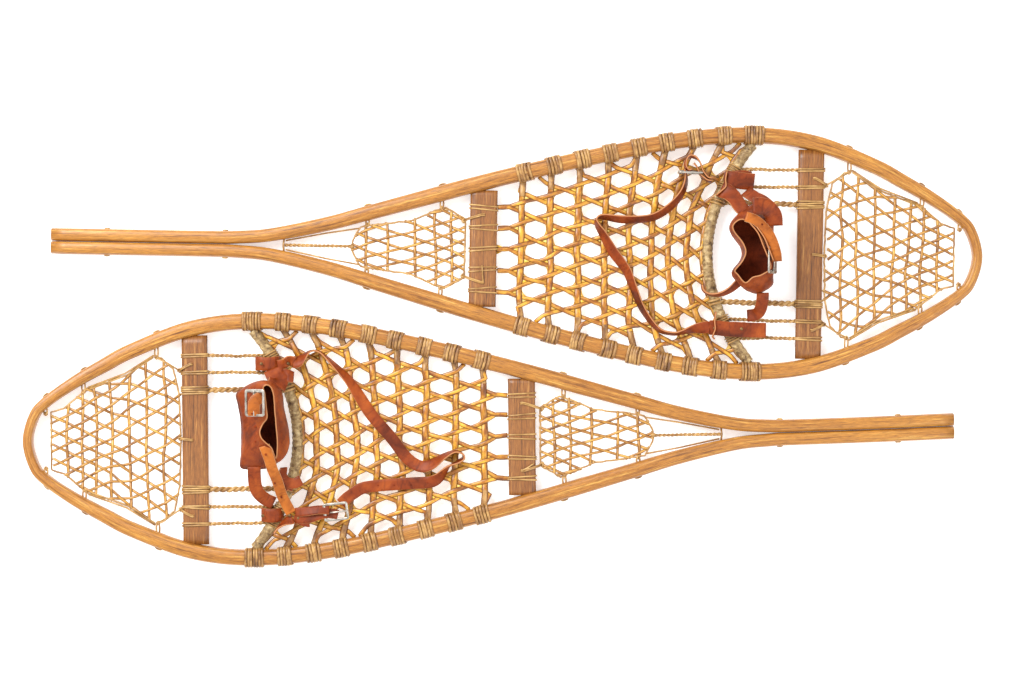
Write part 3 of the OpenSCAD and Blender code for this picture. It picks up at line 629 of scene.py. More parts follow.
def film(part, at, inside, rows, columns, z):
    """Thin rawhide skin that closes the small triangles and rounds the holes off; its bright amber is painted
    light, standing for the floor's light seen through the gaps of the weave and raised against the shade it
    lies in.
    """
    for k in range(rows[0], rows[1] + 1):
        for m in range(-columns, columns + 1):
            y = m + (0 if k % 2 else 0.5)
            for way in (-0.5, 0.5):
                tri = [(k + 0.5, y), (k + 0.5 + way, y - 0.25), (k + 0.5 + way, y + 0.25)]
                pts = [at(a, b) for a, b in tri]
                if all(inside(u, v) for u, v in pts):
                    low = [Vector((u, v, z - 0.3)) for u, v in pts]
                    part.skin([low, [p + Vector((0, 0, 0.6)) for p in low]],
                              [[(p.x, p.y, 0) for p in low]] * 2, [[0, 0, 0]] * 2)
            c = y + 0.5
            six = [(0.5, 0.5), (1, 0.25), (1, -0.25), (0.5, -0.5), (0, -0.25), (0, 0.25)]
            corners = [Vector(at(k + a, c + b)) for a, b in six]
            if not all(inside(p.x, p.y) for p in corners):
                continue
            mid = sum(corners, Vector((0, 0))) / 6
            rx = 0.385 * (Vector(at(k + 1, c)) - Vector(at(k, c))).length
            ry = 0.4 * (corners[0] - corners[3]).length
            rings, flows = [], []
            for i in range(28):
                q = 2 * math.pi * i / 28
                way = Vector((math.cos(q), math.sin(q)))
                far = edge_reach(mid, corners, way)
                near = (abs(way.x / rx) ** 2.3 + abs(way.y / ry) ** 2.3) ** (-1 / 2.3)
                near *= 1 + 0.14 * noise.noise(Vector((mid.x, mid.y, 0)) + Vector((way.x, way.y, 0)) * 0.9)
                a, b = mid + way * far, mid + way * min(near, 0.95 * far)
                rings.append([Vector((a.x, a.y, z - 0.3)), Vector((a.x, a.y, z + 0.3)),
                              Vector((b.x, b.y, z + 0.2)), Vector((b.x, b.y, z - 0.2))])
                flows.append([(p.x, p.y, 0) for p in rings[-1]])
            part.skin(rings, flows, [[0, 0, 0.9, 0.9]] * 28, closed=True)


def build_main(s):
    part = Part(s)
    seed = 1.5 if s == "a" else 8.5
    at = web_map(MAIN_U, MAIN_BOW, MAIN_P, 4, seed)
    sleeves = []
    weave(part, at, inside_main, (-1, 7), 6, (8.4, 5.8), 2, 1.05, 7.42, sleeves)
    part.done(f"main_weave_{s}", M["rawhide"], "deck", ["main_webbing"], "rawhide")
    part = Part(s)
    # The film under the weave, in a bright amber that paints the light showing through the gaps.
    film(part, at, inside_main, (-1, 7), 6, MID_Z - 0.65)
    part.done(f"main_film_painted_light_{s}", M["skin"], "deck", ["main_webbing"], "rawhide")
    part = Part(s)
    for run in sleeves:
        n = len(run)
        sec = [(4.7 * math.cos(k * math.pi / 4), 1.75 * math.sin(k * math.pi / 4)) for k in range(8)]
        part.sweep([(u, v, MID_Z + z) for u, v, z in run], sec, [0.9, 0.4, 0, 0.4, 0.9, 0.4, 0, 0.4],
                   None, False,
                   [(1 - 0.25 * math.sin(3 * i / n), 1 - 0.3 * (i / n) ** 6) for i in range(n)])
    part.done(f"rail_ends_{s}", M["rawhide_wrap"], "deck", ["rail_wraps"], "rawhide_wrap")


def side_path(edge, s, z=0):
    """Closed outline of a web's selvage."""
    half = [(u, min(v, inner_half(u) - 5)) for u, v in edge]
    return half + [(u, -v) for u, v in reversed(half[1:-1])]


def build_fine(s, where):
    toe = where == "toe"
    seed = (2.5 if s == "a" else 6.5) + (0 if toe else 20)
    at = web_map(TOE_U if toe else TAIL_U, None, TOE_P if toe else TAIL_P, 5 if toe else 3, seed)
    edge = TOE_EDGE if toe else TAIL_EDGE
    part = Part(s)
    ends = weave(part, at, edge_inside(edge), (1, 7) if toe else (1, 5), 6, (4.0, 3.6), 1.7, 0.85)
    part.done(f"{where}_weave_{s}", M["fine_rawhide"], "deck", [f"{where}_webbing"], "fine_rawhide")
    part = Part(s)
    loop = side_path(edge, s)
    pts = [Vector((u + 0.8 * noise.noise(Vector((u, v, seed))), v + 1.2 * noise.noise(Vector((v, u, seed))),
                   MID_Z)) for u, v in smooth_loop(loop, 5)]
    part.tube(pts, 1.25, 7, True)
    rng = random.Random(int(seed * 10))
    for u, v, z in ends:
        if rng.random() < 0.8:
            part.knot((u, v, MID_Z), 1.5, 0.85, rng.random() * 3)
    return part


def smooth_loop(loop, steps):
    """The loop with its corners kept but its sides filled in."""
    out = []
    for (a, b), (c, d) in zip(loop, loop[1:] + loop[:1]):
        n = max(1, int(math.hypot(c - a, d - b) / steps))
        out += [(a + (c - a) * i / n, b + (d - b) * i / n) for i in range(n)]
    return out


def tie(part, u, side, v, length=9):
    """A thong that ties a selvage corner to the rail and shows outside it."""
    rail = inner_half(u)
    for du in (-2.2, 2.2):
        part.tube(smooth([(u + du * 0.5, side * v, MID_Z), (u + du, side * (v + rail) / 2, MID_Z + 1.5),
                          (u + du * 0.8, side * (rail + 1), MID_Z)], 4), 1.1, 6)
    part.knot((u, side * (v + 0.5), MID_Z), 2.2, 1.1, u)
    a = rail_angle(u)
    pts = []
    for i in range(9):
        t = i / 8 * 2 - 1
        x = u + t * length * math.cos(a) / 2
        out = outer_half(u) + t * length * math.sin(a) / 2
        h = 1.5 * math.sqrt(max(0, 1 - t * t)) - 0.4
        pts.append((x - h * math.sin(a), side * (out + h * math.cos(a)), MID_Z + 2 * t))
    part.tube(pts, 1.2, 6)


def build_selvages(s):
    part = build_fine(s, "toe")
    for u, v in ((30, 36), (80, 64), (176, 108)):
        for side in (1, -1):
            tie(part, u, side, min(v, inner_half(u) - 6))
    for side in (1, -1):
        for off in (0, 2.2):
            part.tube([(86 + off, side * (min(70, inner_half(86) - 5) - off), MID_Z + 1),
                       (135 + off, side * (88 - off), MID_Z + 1.4),
                       (172, side * (111 - off), MID_Z + 1)], 1.2, 6)
        part.tube([(204, side * 92, MID_Z), (190, side * 101, MID_Z), (176, side * 108, MID_Z)], 1.1, 6)
    part.done(f"toe_edge_{s}", M["thong"], "deck", ["toe_selvage"], "thong")
    part = build_fine(s, "tail")
    for u, v in ((709, 52), (806, 28)):
        for side in (1, -1):
            tie(part, u, side, min(v, inner_half(u) - 5))
    part.rope((824, 0, MID_Z), (914, 0, MID_Z), 4.6, 11)
    part.knot((826, 0, MID_Z), 2.6, 1.3)
    half = inner_half(915)
    for side in (1, -1):
        part.tube([(815, side * 24, MID_Z), (860, side * (inner_half(860) - 2.5), MID_Z),
                   (913, side * (half - 1.5), MID_Z)], 1.1, 6)
    part.tube([(915, -half - 1, MID_Z), (916, 0, MID_Z + 0.8), (915, half + 1, MID_Z)], 1.3, 6)
    part.done(f"tail_edge_{s}", M["thong"], "deck", ["tail_selvage"], "thong")


# ---- Toe cord, its tension cords and the crossbars' lashings ----
TENSION = [(-110.5, 4.9), (-88, 4.9), (-65, 7.6), (65, 7.6), (88, 4.9), (110.5, 4.9)]


def build_toe_cord(s):
    part = Part(s)
    n, sides = 150, 18
    rings, flows = [], []
    ys = [-142.5 + 285 * i / n for i in range(n + 1)]
    pts = [Vector((cord_u(y), y, CORD_Z)) for y in ys]
    along = 0
    for i, (p, (d, side, up)) in enumerate(zip(pts, frames(pts))):
        along += 2
        ring, flow = [], []
        for k in range(sides):
            q = 2 * math.pi * k / sides
            twist = math.cos(2 * math.pi * along / 7.5 - q)
            grain = noise.noise(Vector((along * 0.09, math.cos(q), math.sin(q))))
            r = CORD_R * (0.93 + 0.05 * twist + 0.05 * grain)
            ring.append(p + side * r * math.cos(q) + up * r * math.sin(q))
            flow.append((along, 7 * math.cos(q), 7 * math.sin(q)))
        rings.append(ring)
        flows.append(flow)
    part.skin(rings, flows, [[0] * sides] * len(rings))
    part.done(f"bound_cord_{s}", M["bound_cord"], "deck", ["toe_cord"], "bound_cord")


def cord_ring(part, y, d, turns=2):
    """Turns of a tension cord round the toe cord."""
    for k in range(turns):
        yy = y + (k - (turns - 1) / 2) * d
        c = Vector((cord_u(yy), yy, CORD_Z))
        r = 7.2 + d / 3
        slope = 2 * CORD_BOW * yy / CORD_HALF ** 2
        pts = [c + Vector((r * math.cos(a), r * math.cos(a) * slope * 0.9, r * math.sin(a)))
               for a in [2 * math.pi * i / 16 for i in range(16)]]
        part.tube(pts, d / 2.6, 6, True)


def bar_ring(part, u, w, y, d, skew):
    """One turn of lace round a crossbar."""
    pts = []
    for i in range(20):
        q = 2 * math.pi * i / 20
        c, n = math.cos(q), math.sin(q)
        f = (abs(c) ** 6 + abs(n) ** 6) ** (-1 / 6)
        pts.append(Vector((u + f * c * (w / 2 + d / 2), y + skew * c,
                           MID_Z + f * n * (BAR_T / 2 + d / 2 - 0.1))))
    sec = [(-d * 0.75, 0), (-d * 0.5, d * 0.36), (0, d * 0.42), (d * 0.5, d * 0.36), (d * 0.75, 0),
           (d * 0.5, -d * 0.3), (0, -d * 0.3), (-d * 0.5, -d * 0.3)]
    part.band(pts, Vector((u, y, MID_Z)), ACROSS, sec, [1, 0.5, 0, 0.5, 1, 0.5, 0, 0.5], 5)


def build_cords(s):
    rng = random.Random(5 if s == "a" else 6)
    cords, turns = Part(s), Part(s)
    u, w = TOE_BAR
    for y, d in TENSION:
        back = cord_u(y) - 8
        y2 = y + rng.uniform(-1.5, 1.5)
        cords.rope((u + w / 2 + 1, y, MID_Z - 1), (back, y2, MID_Z), d * 1.05, 12 if d < 5 else 17, 0.5)
        cord_ring(cords, y2, d * 0.55, 3 if d < 5 else 2)
        n = 2 if d < 5 else 4
        for k in range(n):
            bar_ring(turns, u, w, y + (k - (n - 1) / 2) * 2.9, 1.7, rng.uniform(-1.2, 1.2))
    u, w = HEEL_BAR
    for y in (-54, -27, 0, 27, 54):
        for off in (-2.6, 2.4):
            bar_ring(turns, u, w, y + off + rng.uniform(-0.8, 0.8), 1.5, rng.uniform(-2.2, 2.2))
    cords.done(f"twisted_cords_{s}", M["thong"], "deck", ["tension_cords"], "thong")
    turns.done(f"bar_turns_{s}", M["thong"], "deck", ["bar_lashings"], "thong")


def bar_thong(part, u, y, to_u, to_y, loose=None):
    """A thong down through a crossbar's hole and out to a selvage."""
    z = MID_Z + 5.5
    for off in (-0.9, 0.9):
        part.tube(smooth([(u, y + off, z - 3), (u, y + off, z + 0.3),
                          (u + (to_u - u) * 0.15, y + off, z + 0.9),
                          (u + (to_u - u) * 0.8, y + (to_y - y) * 0.7 + off, z + 0.4),
                          (to_u, to_y + off, MID_Z + 0.5)], 4), 0.95, 6)
    part.knot((to_u, to_y, MID_Z), 2.4, 1.15, y)
    if loose:
        part.tube(smooth([(u, y, z - 2), (u, y, z + 1), (u + loose[0] * 0.5, y + loose[1] * 0.4, z + 1.6),
                          (u + loose[0], y + loose[1], z + 0.6)], 4), 0.9, 6)


def build_thongs(s):
    part = Part(s)
    for y, to in ((-99.25, -91), (0, 2), (99.25, 91)):
        bar_thong(part, TOE_BAR[0] - 3, y, 206, to)
    bar_thong(part, HEEL_BAR[0] - 1, -44, 680, -36, (16, 9) if s == "b" else None)
    bar_thong(part, HEEL_BAR[0] - 1, 44, 680, 36, (2, -22) if s == "a" else None)
    part.done(f"bar_thongs_{s}", M["thong"], "deck", ["thongs"], "thong")
    part = Part(s)
    for u in (992, 1147):
        for side in (1, -1):
            y = side * (outer_half(u) + 0.4)
            part.tube([(u, y - side * 2, MID_Z), (u, y, MID_Z), (u, y + side * 0.9, MID_Z),
                       (u, y + side * 1.5, MID_Z)], 4, 14, False, [(1, 1), (1, 1), (0.9, 0.9), (0.5, 0.5)])
    part.done(f"rivet_heads_{s}", M["thong"], "deck", ["tail_rivets"], "thong")


for shoe in "ab":
    build_frame(shoe)
    build_bar(shoe, "toe_crossbar", *TOE_BAR)
    build_bar(shoe, "heel_crossbar", *HEEL_BAR)
    build_wraps(shoe)
    build_main(shoe)
    build_selvages(shoe)
    build_toe_cord(shoe)
    build_cords(shoe)
    build_thongs(shoe)

# ---- Bindings ----
CUP = {"a": ((312, -8.5, 37), 65), "b": ((306, 18, 37), 30)}
CUP_H, CHAPE_R, GAP = 42, 4.2, 0.3
TOE_BUCKLE = {"a": (27, 33, CUP_H + CHAPE_R + GAP), "b": (34, 46, CUP_H + CHAPE_R + GAP)}
HEEL_BUCKLE = {"a": ((372, -103, 31), (90, 0, 0)), "b": ((397, -96, 31), (12, 0, 6))}


def toe_buckle_frame(s):
    place_at, tilt = CUP[s]
    m = Matrix.Translation(place_at) @ Matrix.Rotation(math.radians(-tilt), 4, "Y")
    return m @ Matrix.Translation(TOE_BUCKLE[s]) @ Matrix.Rotation(math.radians(-90), 4, "Z")


def heel_buckle_frame(s):
    at, (x, y, z) = HEEL_BUCKLE[s]
    turned = Matrix.Translation(at) @ Matrix.Rotation(math.radians(z), 4, "Z")
    return turned @ Matrix.Rotation(math.radians(x), 4, "X")


def build_buckle(s, which, m, w, l):
    """A bent wire frame on its bar, w wide and l long, and its prong."""
    part = Part(s)
    c = 3.2
    loop = []
    for cx, cy, a0 in ((l - c, w / 2 - c, 0), (c - 1.5, w / 2 - c, 90),
                       (c - 1.5, c - w / 2, 180), (l - c, c - w / 2, 270)):
        for k in range(5):
            q = math.radians(a0 + 22.5 * k)
            loop.append(m @ Vector((cx - 1.4 + (c - 1.4) * math.cos(q), cy + (c - 1.4) * math.sin(q), 0)))
    normal = m.to_3x3() @ Vector((0, 0, 1))
    sec = [(1.7, 0.5), (1.2, 1.15), (-1.2, 1.15), (-1.7, 0.5),
           (-1.7, -0.5), (-1.2, -1.15), (1.2, -1.15), (1.7, -0.5)]
    rings = []
    for i, p in enumerate(loop):
        d = (loop[(i + 1) % len(loop)] - loop[i - 1]).normalized()
        out = d.cross(normal)
        rings.append([p + out * x + normal * z for x, z in sec])
    flows = [[(i * 5, x, z) for x, z in sec] for i in range(len(loop))]
    part.skin(rings, flows, [[0] * 8] * len(loop), closed=True)
    part.tube([m @ Vector((0, y, 0)) for y in (3 - w / 2, 0, w / 2 - 3)], 1.2, 10)
    part.done(f"{which}_buckle_{s}_metal", M["nickel"], f"{which}_buckle", [f"{which}_buckle"], "nickel")
    part = Part(s)
    turn = [math.pi * k / 6 for k in range(12)]
    part.tube([m @ Vector((2.0 * math.cos(a), 0, 2.0 * math.sin(a))) for a in turn],
              0.8, 8, True)
    part.tube([m @ Vector(p) for p in ((1.5, 0, 1.9), (l * 0.5, 0, 2.5), (l - 3, 0, 2.4),
                                       (l - 1.4, 0, 2.2))], 1.0, 8,
              False, [(1.2, 1.2), (1.1, 1.1), (1, 1), (0.7, 0.7)])
    part.done(f"{which}_prong_{s}_metal", M["nickel"], f"{which}_prong", [f"{which}_prong"], "nickel")


def strap(part, route, w, t=LEATHER_T, steps=5, point=False):
    """A leather strap through points whose fourth number is the roll."""
    pts = smooth([r[:3] for r in route], steps)
    rolls = [v.x for v in smooth([(r[3], 0, 0) for r in route], steps)]
    sec, mk = flat(w, t, 0.6)
    scale = None
    if point:
        n = len(pts)
        scale = [(min(1, 0.12 + 0.88 * math.sin(min(1, (n - 1 - i) / 5) * math.pi / 2)), 1) for i in range(n)]
    part.sweep(pts, sec, mk, rolls, False, scale)
    return pts


def basis(normal):
    n = Vector(normal).normalized()
    a = n.orthogonal().normalized()
    return n, a, n.cross(a)


def hole(part, p, r=1.5, normal=(0, 0, 1)):
    """A punched hole: a dark disc sunk in the strap's face, painted shade standing for the hole's depth."""
    n, a, b = basis(normal)
    p = Vector(p)
    ring = [p + a * r * math.cos(k * 0.785) + b * r * math.sin(k * 0.785) for k in range(8)]
    part.skin([[q - n * 0.4 for q in ring], [q + n * 0.12 for q in ring]], [[(0, 0, 0)] * 8] * 2,
              [[0] * 8] * 2)


def rivet(part, p, r):
    """A low domed rivet head, facing up."""
    n, a, b = basis((0, 0, 1))
    rings = []
    for h, q in ((-0.6, 1), (0.5, 1), (0.9, 0.8), (1.2, 0.35)):
        rings.append([Vector(p) + n * h + a * r * q * math.cos(k * 0.524) + b * r * q * math.sin(k * 0.524)
                      for k in range(12)])
    part.skin(rings, [[(0, 0, 0)] * 12] * 4, [[0] * 12] * 4)


# Pocket of the toe cup: place on the opening's rim and height, place on the lower rim and height
POCKET = {
    "b": [((336, -24), 66, (336, -30), 44), ((331, -10), 76, (322, -37), 43), ((324, -3), 80, (305, -38), 43),
          ((318, 4), 83, (288, -36), 44), ((316.6, 13), 84, (288, -20), 45), ((320, 22), 84, (289, 0), 45),
          ((326, 31), 84, (289, 20), 45), ((325, 46), 86, (286, 42), 45), ((324, 60), 88, (283, 60), 45),
          ((322, 69), 90, (293, 69), 44), ((326, 73), 91, (307, 75), 43), ((331, 72), 90, (324, 76), 43),
          ((335, 66), 88, (337, 70), 43), ((337, 55), 86, (343, 61), 43), ((338, 38), 84, (346, 38), 43),
          ((339, 20), 82, (351, 14), 43), ((340, 2), 78, (352, -5), 43), ((339, -14), 72, (347, -20), 43)],
    "a": [((315.5, 41), 82, (309, 50), 46), ((326, 31), 84, (320, 40), 44), ((330.5, 24), 86, (328, 30), 42),
          ((321, 12), 88, (319, 16), 42), ((317.4, 1), 90, (316, 3), 42), ((321, -10), 92, (320, -10), 42),
          ((332, -23), 94, (329, -22), 42), ((335, -32), 96, (332, -33), 42),
          ((328.5, -40), 97, (323, -48), 42),
          ((320, -41), 96, (308, -62), 44), ((308, -33), 94, (290, -67), 46),
          ((298, -21), 92, (277, -54), 48),
          ((291, -4), 90, (277, -26), 48), ((284.5, 12), 88, (273, 4), 48), ((283.5, 22), 86, (277, 25), 48),
          ((293.5, 30), 84, (277, 42), 47), ((306, 34), 82, (295, 53), 46)],
}


def build_pocket(s):
    rim = closed_smooth([(p[0][0], p[0][1], p[1]) for p in POCKET[s]], 4)
    low = closed_smooth([(p[2][0], p[2][1], p[3]) for p in POCKET[s]], 4)
    n = len(rim)
    area2 = sum(rim[i - 1].x * rim[i].y - rim[i].x * rim[i - 1].y for i in range(n))
    part, painted_shade = Part(s), Part(s)
    rings, flows, marks, inner, iflows = [], [], [], [], []
    for i in range(n):
        d = (rim[(i + 1) % n] - rim[i - 1]).normalized()
        out = Vector((d.y, -d.x, 0)) * (1 if area2 > 0 else -1)
        wall = []
        for k in range(7):
            t = k / 6
            p = low[i].lerp(rim[i], t) + out * 3.2 * math.sin(math.pi * t) ** 0.8
            wall.append(p + out * 0.5 * noise.noise(p * 0.12))
        up = Vector((0, 0, 1))
        ring = wall + [wall[-1] + up * 0.5, wall[-1] + up * 0.5 - out * 1.5]
        ring += [p - out * 1.7 for p in reversed(wall)]
        rings.append(ring)
        flows.append([(i * 3.5, k * 6, 0) for k in range(len(ring))])
        marks.append([0] * 6 + [0, 1, 1] + [0] * 7)
        # A dark sheet just inside the cup's wall, closed by a fan across the bottom: painted shade for the
        # hollow of the cup.
        inner.append([p - out * 1.85 for p in wall[:-1]] + [wall[-1] - out * 1.85 - up * 0.8])
        iflows.append([(i * 3.5, k * 6, 0) for k in range(7)])
    part.skin(rings, flows, marks, closed=True)
    m = len(inner[0])
    base = len(painted_shade.verts)
    for ring, flow in zip(inner, iflows):
        painted_shade.verts += ring
        painted_shade.flow += [(f[0] / 1000, f[1] / 1000, 0) for f in flow]
        painted_shade.mark += [0] * m
    for i in range(n):
        j = (i + 1) % n
        for k in range(m - 1):
            painted_shade.faces.append((base + i * m + k, base + i * m + k + 1, base + j * m + k + 1,
                                 base + j * m + k))
    painted_shade.verts.append(sum((r[0] for r in inner), Vector()) / n)
    painted_shade.flow.append((0, 0, 0))
    painted_shade.mark.append(0)
    hub = len(painted_shade.verts) - 1
    painted_shade.faces += [(base + i * m, base + ((i + 1) % n) * m, hub) for i in range(n)]
    painted_shade.done(f"toe_cup_lining_{s}", M["painted_shade"], "binding", ["toe_cup"], "leather")
    return part


def keeper_loop(part, side, u, w, hz=11.5, hu=16.5):
    """A keeper: leather folded round the toe cord."""
    pts, n = [], 28
    y = side * KEEPER_Y
    sec, mk = flat(w, LEATHER_T, 0.6)
    for k in range(n):
        q = 2 * math.pi * k / n
        c, z = math.cos(q), math.sin(q)
        f = (abs(c) ** 3 + abs(z) ** 3) ** (-1 / 3)
        pts.append(Vector((u + f * c * hu, y + 0.6 * math.sin(3 * q), CORD_Z + f * z * hz)))
    part.band(pts, Vector((u, y, CORD_Z)), ACROSS, sec, mk, 5)


HEEL = {
    "a": [(356.5, 98, 31.2, 0), (362, 98, 31, 10), (370, 99, 29, 30), (380, 101, 26.5, 55),
          (392, 105, 25.4, 72),
          (405, 107, 25, 78), (424, 101, 25, 74), (444, 76, 25, 66), (456, 49, 25, 58), (465, 27, 25, 48),
          (475, 13, 24.5, 40), (485, 0, 24, 38), (498, -22, 25, 56), (505, -33, 27, 72), (507, -39, 27, 84),
          (504, -43, 27, 100), (496, -44, 27, 112), (473, -41, 27, 124), (446, -42, 27, 122),
          (427, -47, 27, 124),
          (408, -61, 27, 124), (396, -76, 27, 116), (391, -90, 28, 108), (391, -101, 29, 100),
          (393, -108, 30, 94)],
    "b": [(356.5, 101, 31.2, 0), (362, 101, 31, 20), (370, 108, 28, 60), (379, 115, 26, 85),
          (390, 114, 25.2, 88),
          (402, 104, 25.2, 80), (427, 78, 24.5, 50), (442, 55, 22, 22), (458, 30, 20, 8), (485, -2, 19.6, 2),
          (503, -26, 19.6, 0), (520, -37, 21, 12), (535, -35, 23.5, 34), (552, -24, 25, 66),
          (566, -18, 25, 84),
          (576, -21, 25, 92), (577, -27, 25, 100), (569, -32, 25, 100), (557, -38, 24, 80),
          (545, -52, 22, 34),
          (533, -58, 20, 6), (514, -59, 19.6, 0), (465, -62, 19.6, 0), (445, -65, 20, 4), (434, -71, 21.5, 6),
          (424, -78, 24, 8), (417, -85, 27, 10)],
}


def build_heel(s):
    part, holes = Part(s), Part(s)
    strap(part, HEEL[s], 15.6, 2.4)
    # The punched holes are dark discs of painted shade.
    if s == "b":
        for u in (444, 465, 486, 508, 530):
            hole(holes, (u, -61.5 if u < 525 else -58.5, 20.95), 1.2)
    else:
        for u, y in ((497, -18), (487, -1), (470, 20)):
            hole(holes, (u, y, 32), 1.1)
    if s == "b":
        strap(part, [(357.5, -95, 32, 0), (372, -94, 33.5, 14), (388, -92, 34, 22), (402, -92, 33, 14)],
              12, 2.2)
        strap(part, [(357.5, -103, 31.5, 0), (374, -103, 31, 8), (392, -98, 30, 14), (404, -97, 28.5, 12),
                     (413, -99, 28.5, 12)], 13, 2.2)
    else:
        strap(part, [(357.5, -92, 33, 78), (364, -94, 33, 88), (373, -102, 32, 92), (377, -111, 32, 96),
                     (381, -116, 32, 98)], 14, 2.2)
        strap(part, [(357.5, -95, 33, 78), (363, -97.5, 33, 88), (369, -106, 32, 92), (373, -117, 32, 96),
                     (379, -123, 32, 84), (386, -124.5, 32, 80), (391, -120, 32, 92), (392, -112, 32, 96),
                     (388, -106, 32, 98), (383, -107, 32, 98)], 14, 2.2)
    part.done(f"heel_strap_{s}_leather", M["leather"], "heel_strap", ["heel_strap", "heel_chape"], "leather")
    holes.done(f"heel_strap_{s}_holes", M["painted_shade"], "heel_strap", ["heel_strap"], "leather")


def build_binding(s):
    cup = build_pocket(s)
    red, tan, dark, metal = Part(s), Part(s), Part(s), Part(s)
    if s == "b":
        keeper_loop(cup, 1, 322, 18, 11.6, 15)
        keeper_loop(cup, -1, 326, 18, 11.6, 13)
        strap(cup, [(336, 97, 29, 0), (345, 99, 30, -20), (351, 104, 31, -40), (357.5, 101, 31.5, -8)], 13)
        strap(red, [(330, 92, 29.5, 8), (334, 84, 34, 16), (338, 78, 40, 20), (336, 70, 48, 26)], 26)
        strap(red, [(344, 84, 33, -14), (350, 83, 35, 18), (357, 81, 33, 40)], 17)
        strap(red, [(306, -34, 48, 0), (306, -48, 46, 0), (307, -60, 42, 0), (311, -70, 36, -4),
                    (319, -78, 29, -8),
                    (329, -83, 26, -10)], 17)
        strap(red, [(344, -36, 42, 60), (342, -47, 40, 40), (347, -55, 38, 16), (357, -57, 37, 6),
                    (366, -53, 37, 4)], 14)
        strap(red, [(342, -62, 36, 30), (348, -58, 36, 20), (356, -60, 35, 12)], 16)
        route = [(322, -6, 76, 0), (327, -20, 72, 0), (331, -36.7, 63, 0), (336, -52, 52, 0),
                 (341, -72, 40, 0),
                 (348, -88, 33, 0), (352, -96, 31.5, 0)]
        strap(tan, route, 14)
        strap(tan, [(311, 33, 95.5, 0), (311.5, 42, 96.5, 0), (313, 52, 97, 0), (322, 57, 95, -8)], 15.5, 2.2)
        # Punched holes: dark discs of painted shade.
        for u, y, z in ((333, -56, 50.8), (340.5, -74.5, 40.6)):
            hole(dark, (u, y, z + 1.5), 1.5, (0, -0.5, 0.87))
        for u, y, z in ((311, 18.8, 79.5), (311, -0.4, 78), (324, -17.5, 76)):
            hole(dark, (u, y, z), 1.5, (-0.3, 0, 0.9))
        hole(dark, (309, 36, 97.1), 1.3)
        strap(cup, [(330, -122, 33, 90), (335, -115, 33, 84), (344, -108, 32, 60),
                    (354.5, -103.5, 31.5, 20)], 14, 2.6, 5)
        strap(cup, [(356, -101, 30, 0), (366, -106, 30.5, 0), (376, -114, 31, 0)], 13, 2.4, 5, True)
        rivet(metal, (361, -103, 31.5), 2.6)
    else:
        keeper_loop(cup, -1, 318, 17, 11.6, 13)
        strap(cup, [(302, -92.5, 31.5, 12), (316, -93.5, 32, 6), (330, -95, 32, 0),
                    (338, -96, 31.5, -10)], 22)
        strap(cup, [(339, -105, 30, 96), (340, -95, 30, 92), (339, -86, 30, 88), (344, -80, 31, 84),
                    (351, -74, 31, 84)],
              15, 2.4)
        strap(red, [(345, -82, 33, 0), (336, -78, 37, 10), (328, -70, 44, 20), (322, -60, 52, 26),
                    (316, -52, 60, 30)],
              21)
        strap(red, [(313, -80, 36, 20), (302, -72, 45, 20), (292, -66, 54, 14), (283, -58, 60, 8)], 17)
        strap(red, [(290, 52, 50, 0), (290, 62, 47, 0), (292, 74, 40, 0), (297, 80, 33, -4),
                    (307, 82, 26, -10)], 16)
        strap(red, [(320, 38, 46, 40), (332, 49, 44, 58), (345, 55, 40, 72), (358, 55, 37, 84),
                    (366, 50, 37, 88),
                    (368, 43, 37, 90)], 14)
        keeper_loop(cup, 1, 322, 17, 11.6, 13)
        strap(cup, [(283, 100.5, 29.5, 0), (300, 100.5, 30.5, 0), (330, 100, 31.5, 0), (346, 98.5, 31.5, 6),
                    (357.5, 98, 31.2, 20)], 19.5)
        strap(cup, [(349, 78, 31, 88), (350, 90, 32, 84), (348, 100, 32.5, 70), (352, 109, 31, 84),
                    (351, 112, 30, 90)],
              11, 2.2)
        flap = [(318, -44, 97, 8), (306, -40, 97, 4), (294, -30, 95, 0), (285, -18, 93, -6),
                (278, 0, 90, -12),
                (276, 12, 87, -14)]
        strap(tan, flap, 13)
        strap(red, [(308, -58, 82, 4), (292, -58, 80, 0), (281, -48, 76, -6), (279, -34, 74, -8)], 22)
        strap(cup, [(312, -37, 93, 74), (301, -24, 92, 76), (294, -8, 90, 78), (287, 8, 88, 80)], 9, 2.2)
        strap(cup, [(303, -32, 94, 76), (293, -18, 93, 78), (286, -2, 91, 80), (281, 10, 88, 82)], 9, 2.2)
        # Punched hole: a dark disc of painted shade.
        hole(dark, (297, -34.5, 97.2), 1.4)
        hole(dark, (327, -64, 50.5), 1.6, (-0.3, -0.3, 0.9))
    for side in (1, -1):
        for du in (-17.5, 17.5):
            rivet(metal, (332.6 + du, side * KEEPER_Y, 32.6 if du < 0 else 32.2), 2.2)
    cup_nodes = ["toe_cup", "keeper_left", "keeper_right", "strap_end"]
    red_nodes = ["under_strap", "side_strap", "toe_chape"]
    for name, part, mat, nodes, slot in (
            ("cup_leather", cup, "leather", cup_nodes, "leather"),
            ("cup_straps", red, "leather", red_nodes, "leather"),
            ("tan_strap", tan, "tan_leather", ["toe_strap"], "tan_leather"),
            ("strap_holes", dark, "painted_shade", ["toe_strap"], "leather"),
            ("rivets", metal, "old_brass", ["binding_rivets"], "nickel")):
        part.done(f"{name}_{s}", M[mat], "binding", nodes, slot)
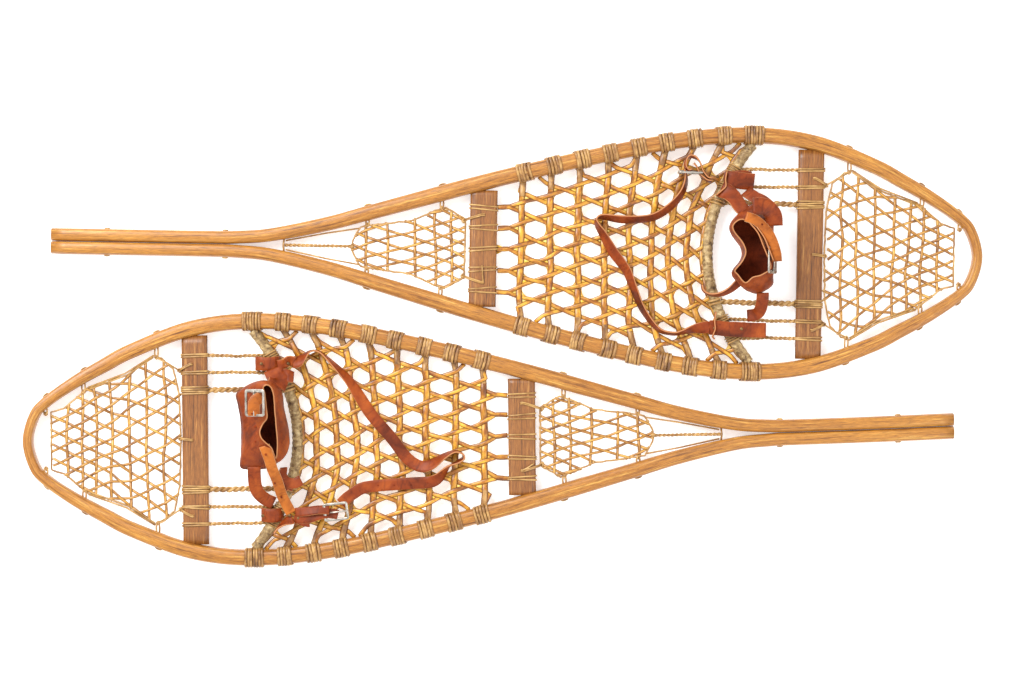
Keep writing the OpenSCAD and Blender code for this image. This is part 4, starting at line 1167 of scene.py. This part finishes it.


# Painted shade: a dark red-brown leather colour, laid over the toe cup's inside and in the punched holes,
# standing for the shade in those hollows.
def painted_shade():
    m = Mat("painted_shade", 0.8, spec=0.15)
    cloud = m.noise(40, (1, 1, 1), 4, 0.6, 0, "object")
    m.base(m.ramp(cloud, [(0.3, rgb(70, 24, 12)), (0.7, rgb(150, 60, 26))]))
    m.bump(cloud, 0.3, 0.0005)
    return m.mat


M["painted_shade"] = painted_shade()
for shoe in "ab":
    build_binding(shoe)
    build_heel(shoe)
    build_buckle(shoe, "toe", toe_buckle_frame(shoe), 30, 33)
    build_buckle(shoe, "heel", heel_buckle_frame(shoe), 24, 31)

# ---- Floor, light and camera ----
floor = bpy.data.meshes.new("floor")
floor.from_pydata([(-6, -6, 0), (6, -6, 0), (6, 6, 0), (-6, 6, 0)], [], [(0, 1, 2, 3)])
floor_ob = bpy.data.objects.new("floor", floor)
bpy.context.scene.collection.objects.link(floor_ob)
paper = Mat("paper", 0.9, spec=0.1)
paper_grain = paper.noise(2, (1, 1, 1), 2, 0.5, 0, "object")
paper.base(paper.ramp(paper_grain, [(0, (0.9, 0.9, 0.9)), (1, (0.92, 0.92, 0.92))]))
paper.bsdf.inputs["Emission Color"].default_value = (1, 1, 1, 1)
paper.bsdf.inputs["Emission Strength"].default_value = 0.45
floor.materials.append(paper.mat)

world = bpy.data.worlds.new("studio")
bpy.context.scene.world = world
world.use_nodes = True
world.node_tree.nodes["Background"].inputs["Color"].default_value = (1, 1, 1, 1)
world.node_tree.nodes["Background"].inputs["Strength"].default_value = 1.0


def area(name, place_at, size, energy):
    data = bpy.data.lights.new(name, "AREA")
    data.size, data.energy = size, energy
    ob = bpy.data.objects.new(name, data)
    ob.location = place_at
    ob.rotation_euler = (-Vector(place_at)).to_track_quat("-Z", "Y").to_euler()
    bpy.context.scene.collection.objects.link(ob)


area("key", (-1.6, 1.6, 2.6), 1.6, 110)
area("fill", (1.8, -1.2, 2.4), 2.0, 22)

bpy.context.scene.view_settings.view_transform = "Standard"

LENS = 90
camera = bpy.data.cameras.new("camera")
camera.lens, camera.sensor_width = LENS, 36
eye = bpy.data.objects.new("camera", camera)
eye.location = (0.01245, 0.0085, 0.0135 + 1.3425 * LENS / 36)
eye.rotation_euler = (0, 0, 0)
bpy.context.scene.collection.objects.link(eye)
bpy.context.scene.camera = eye
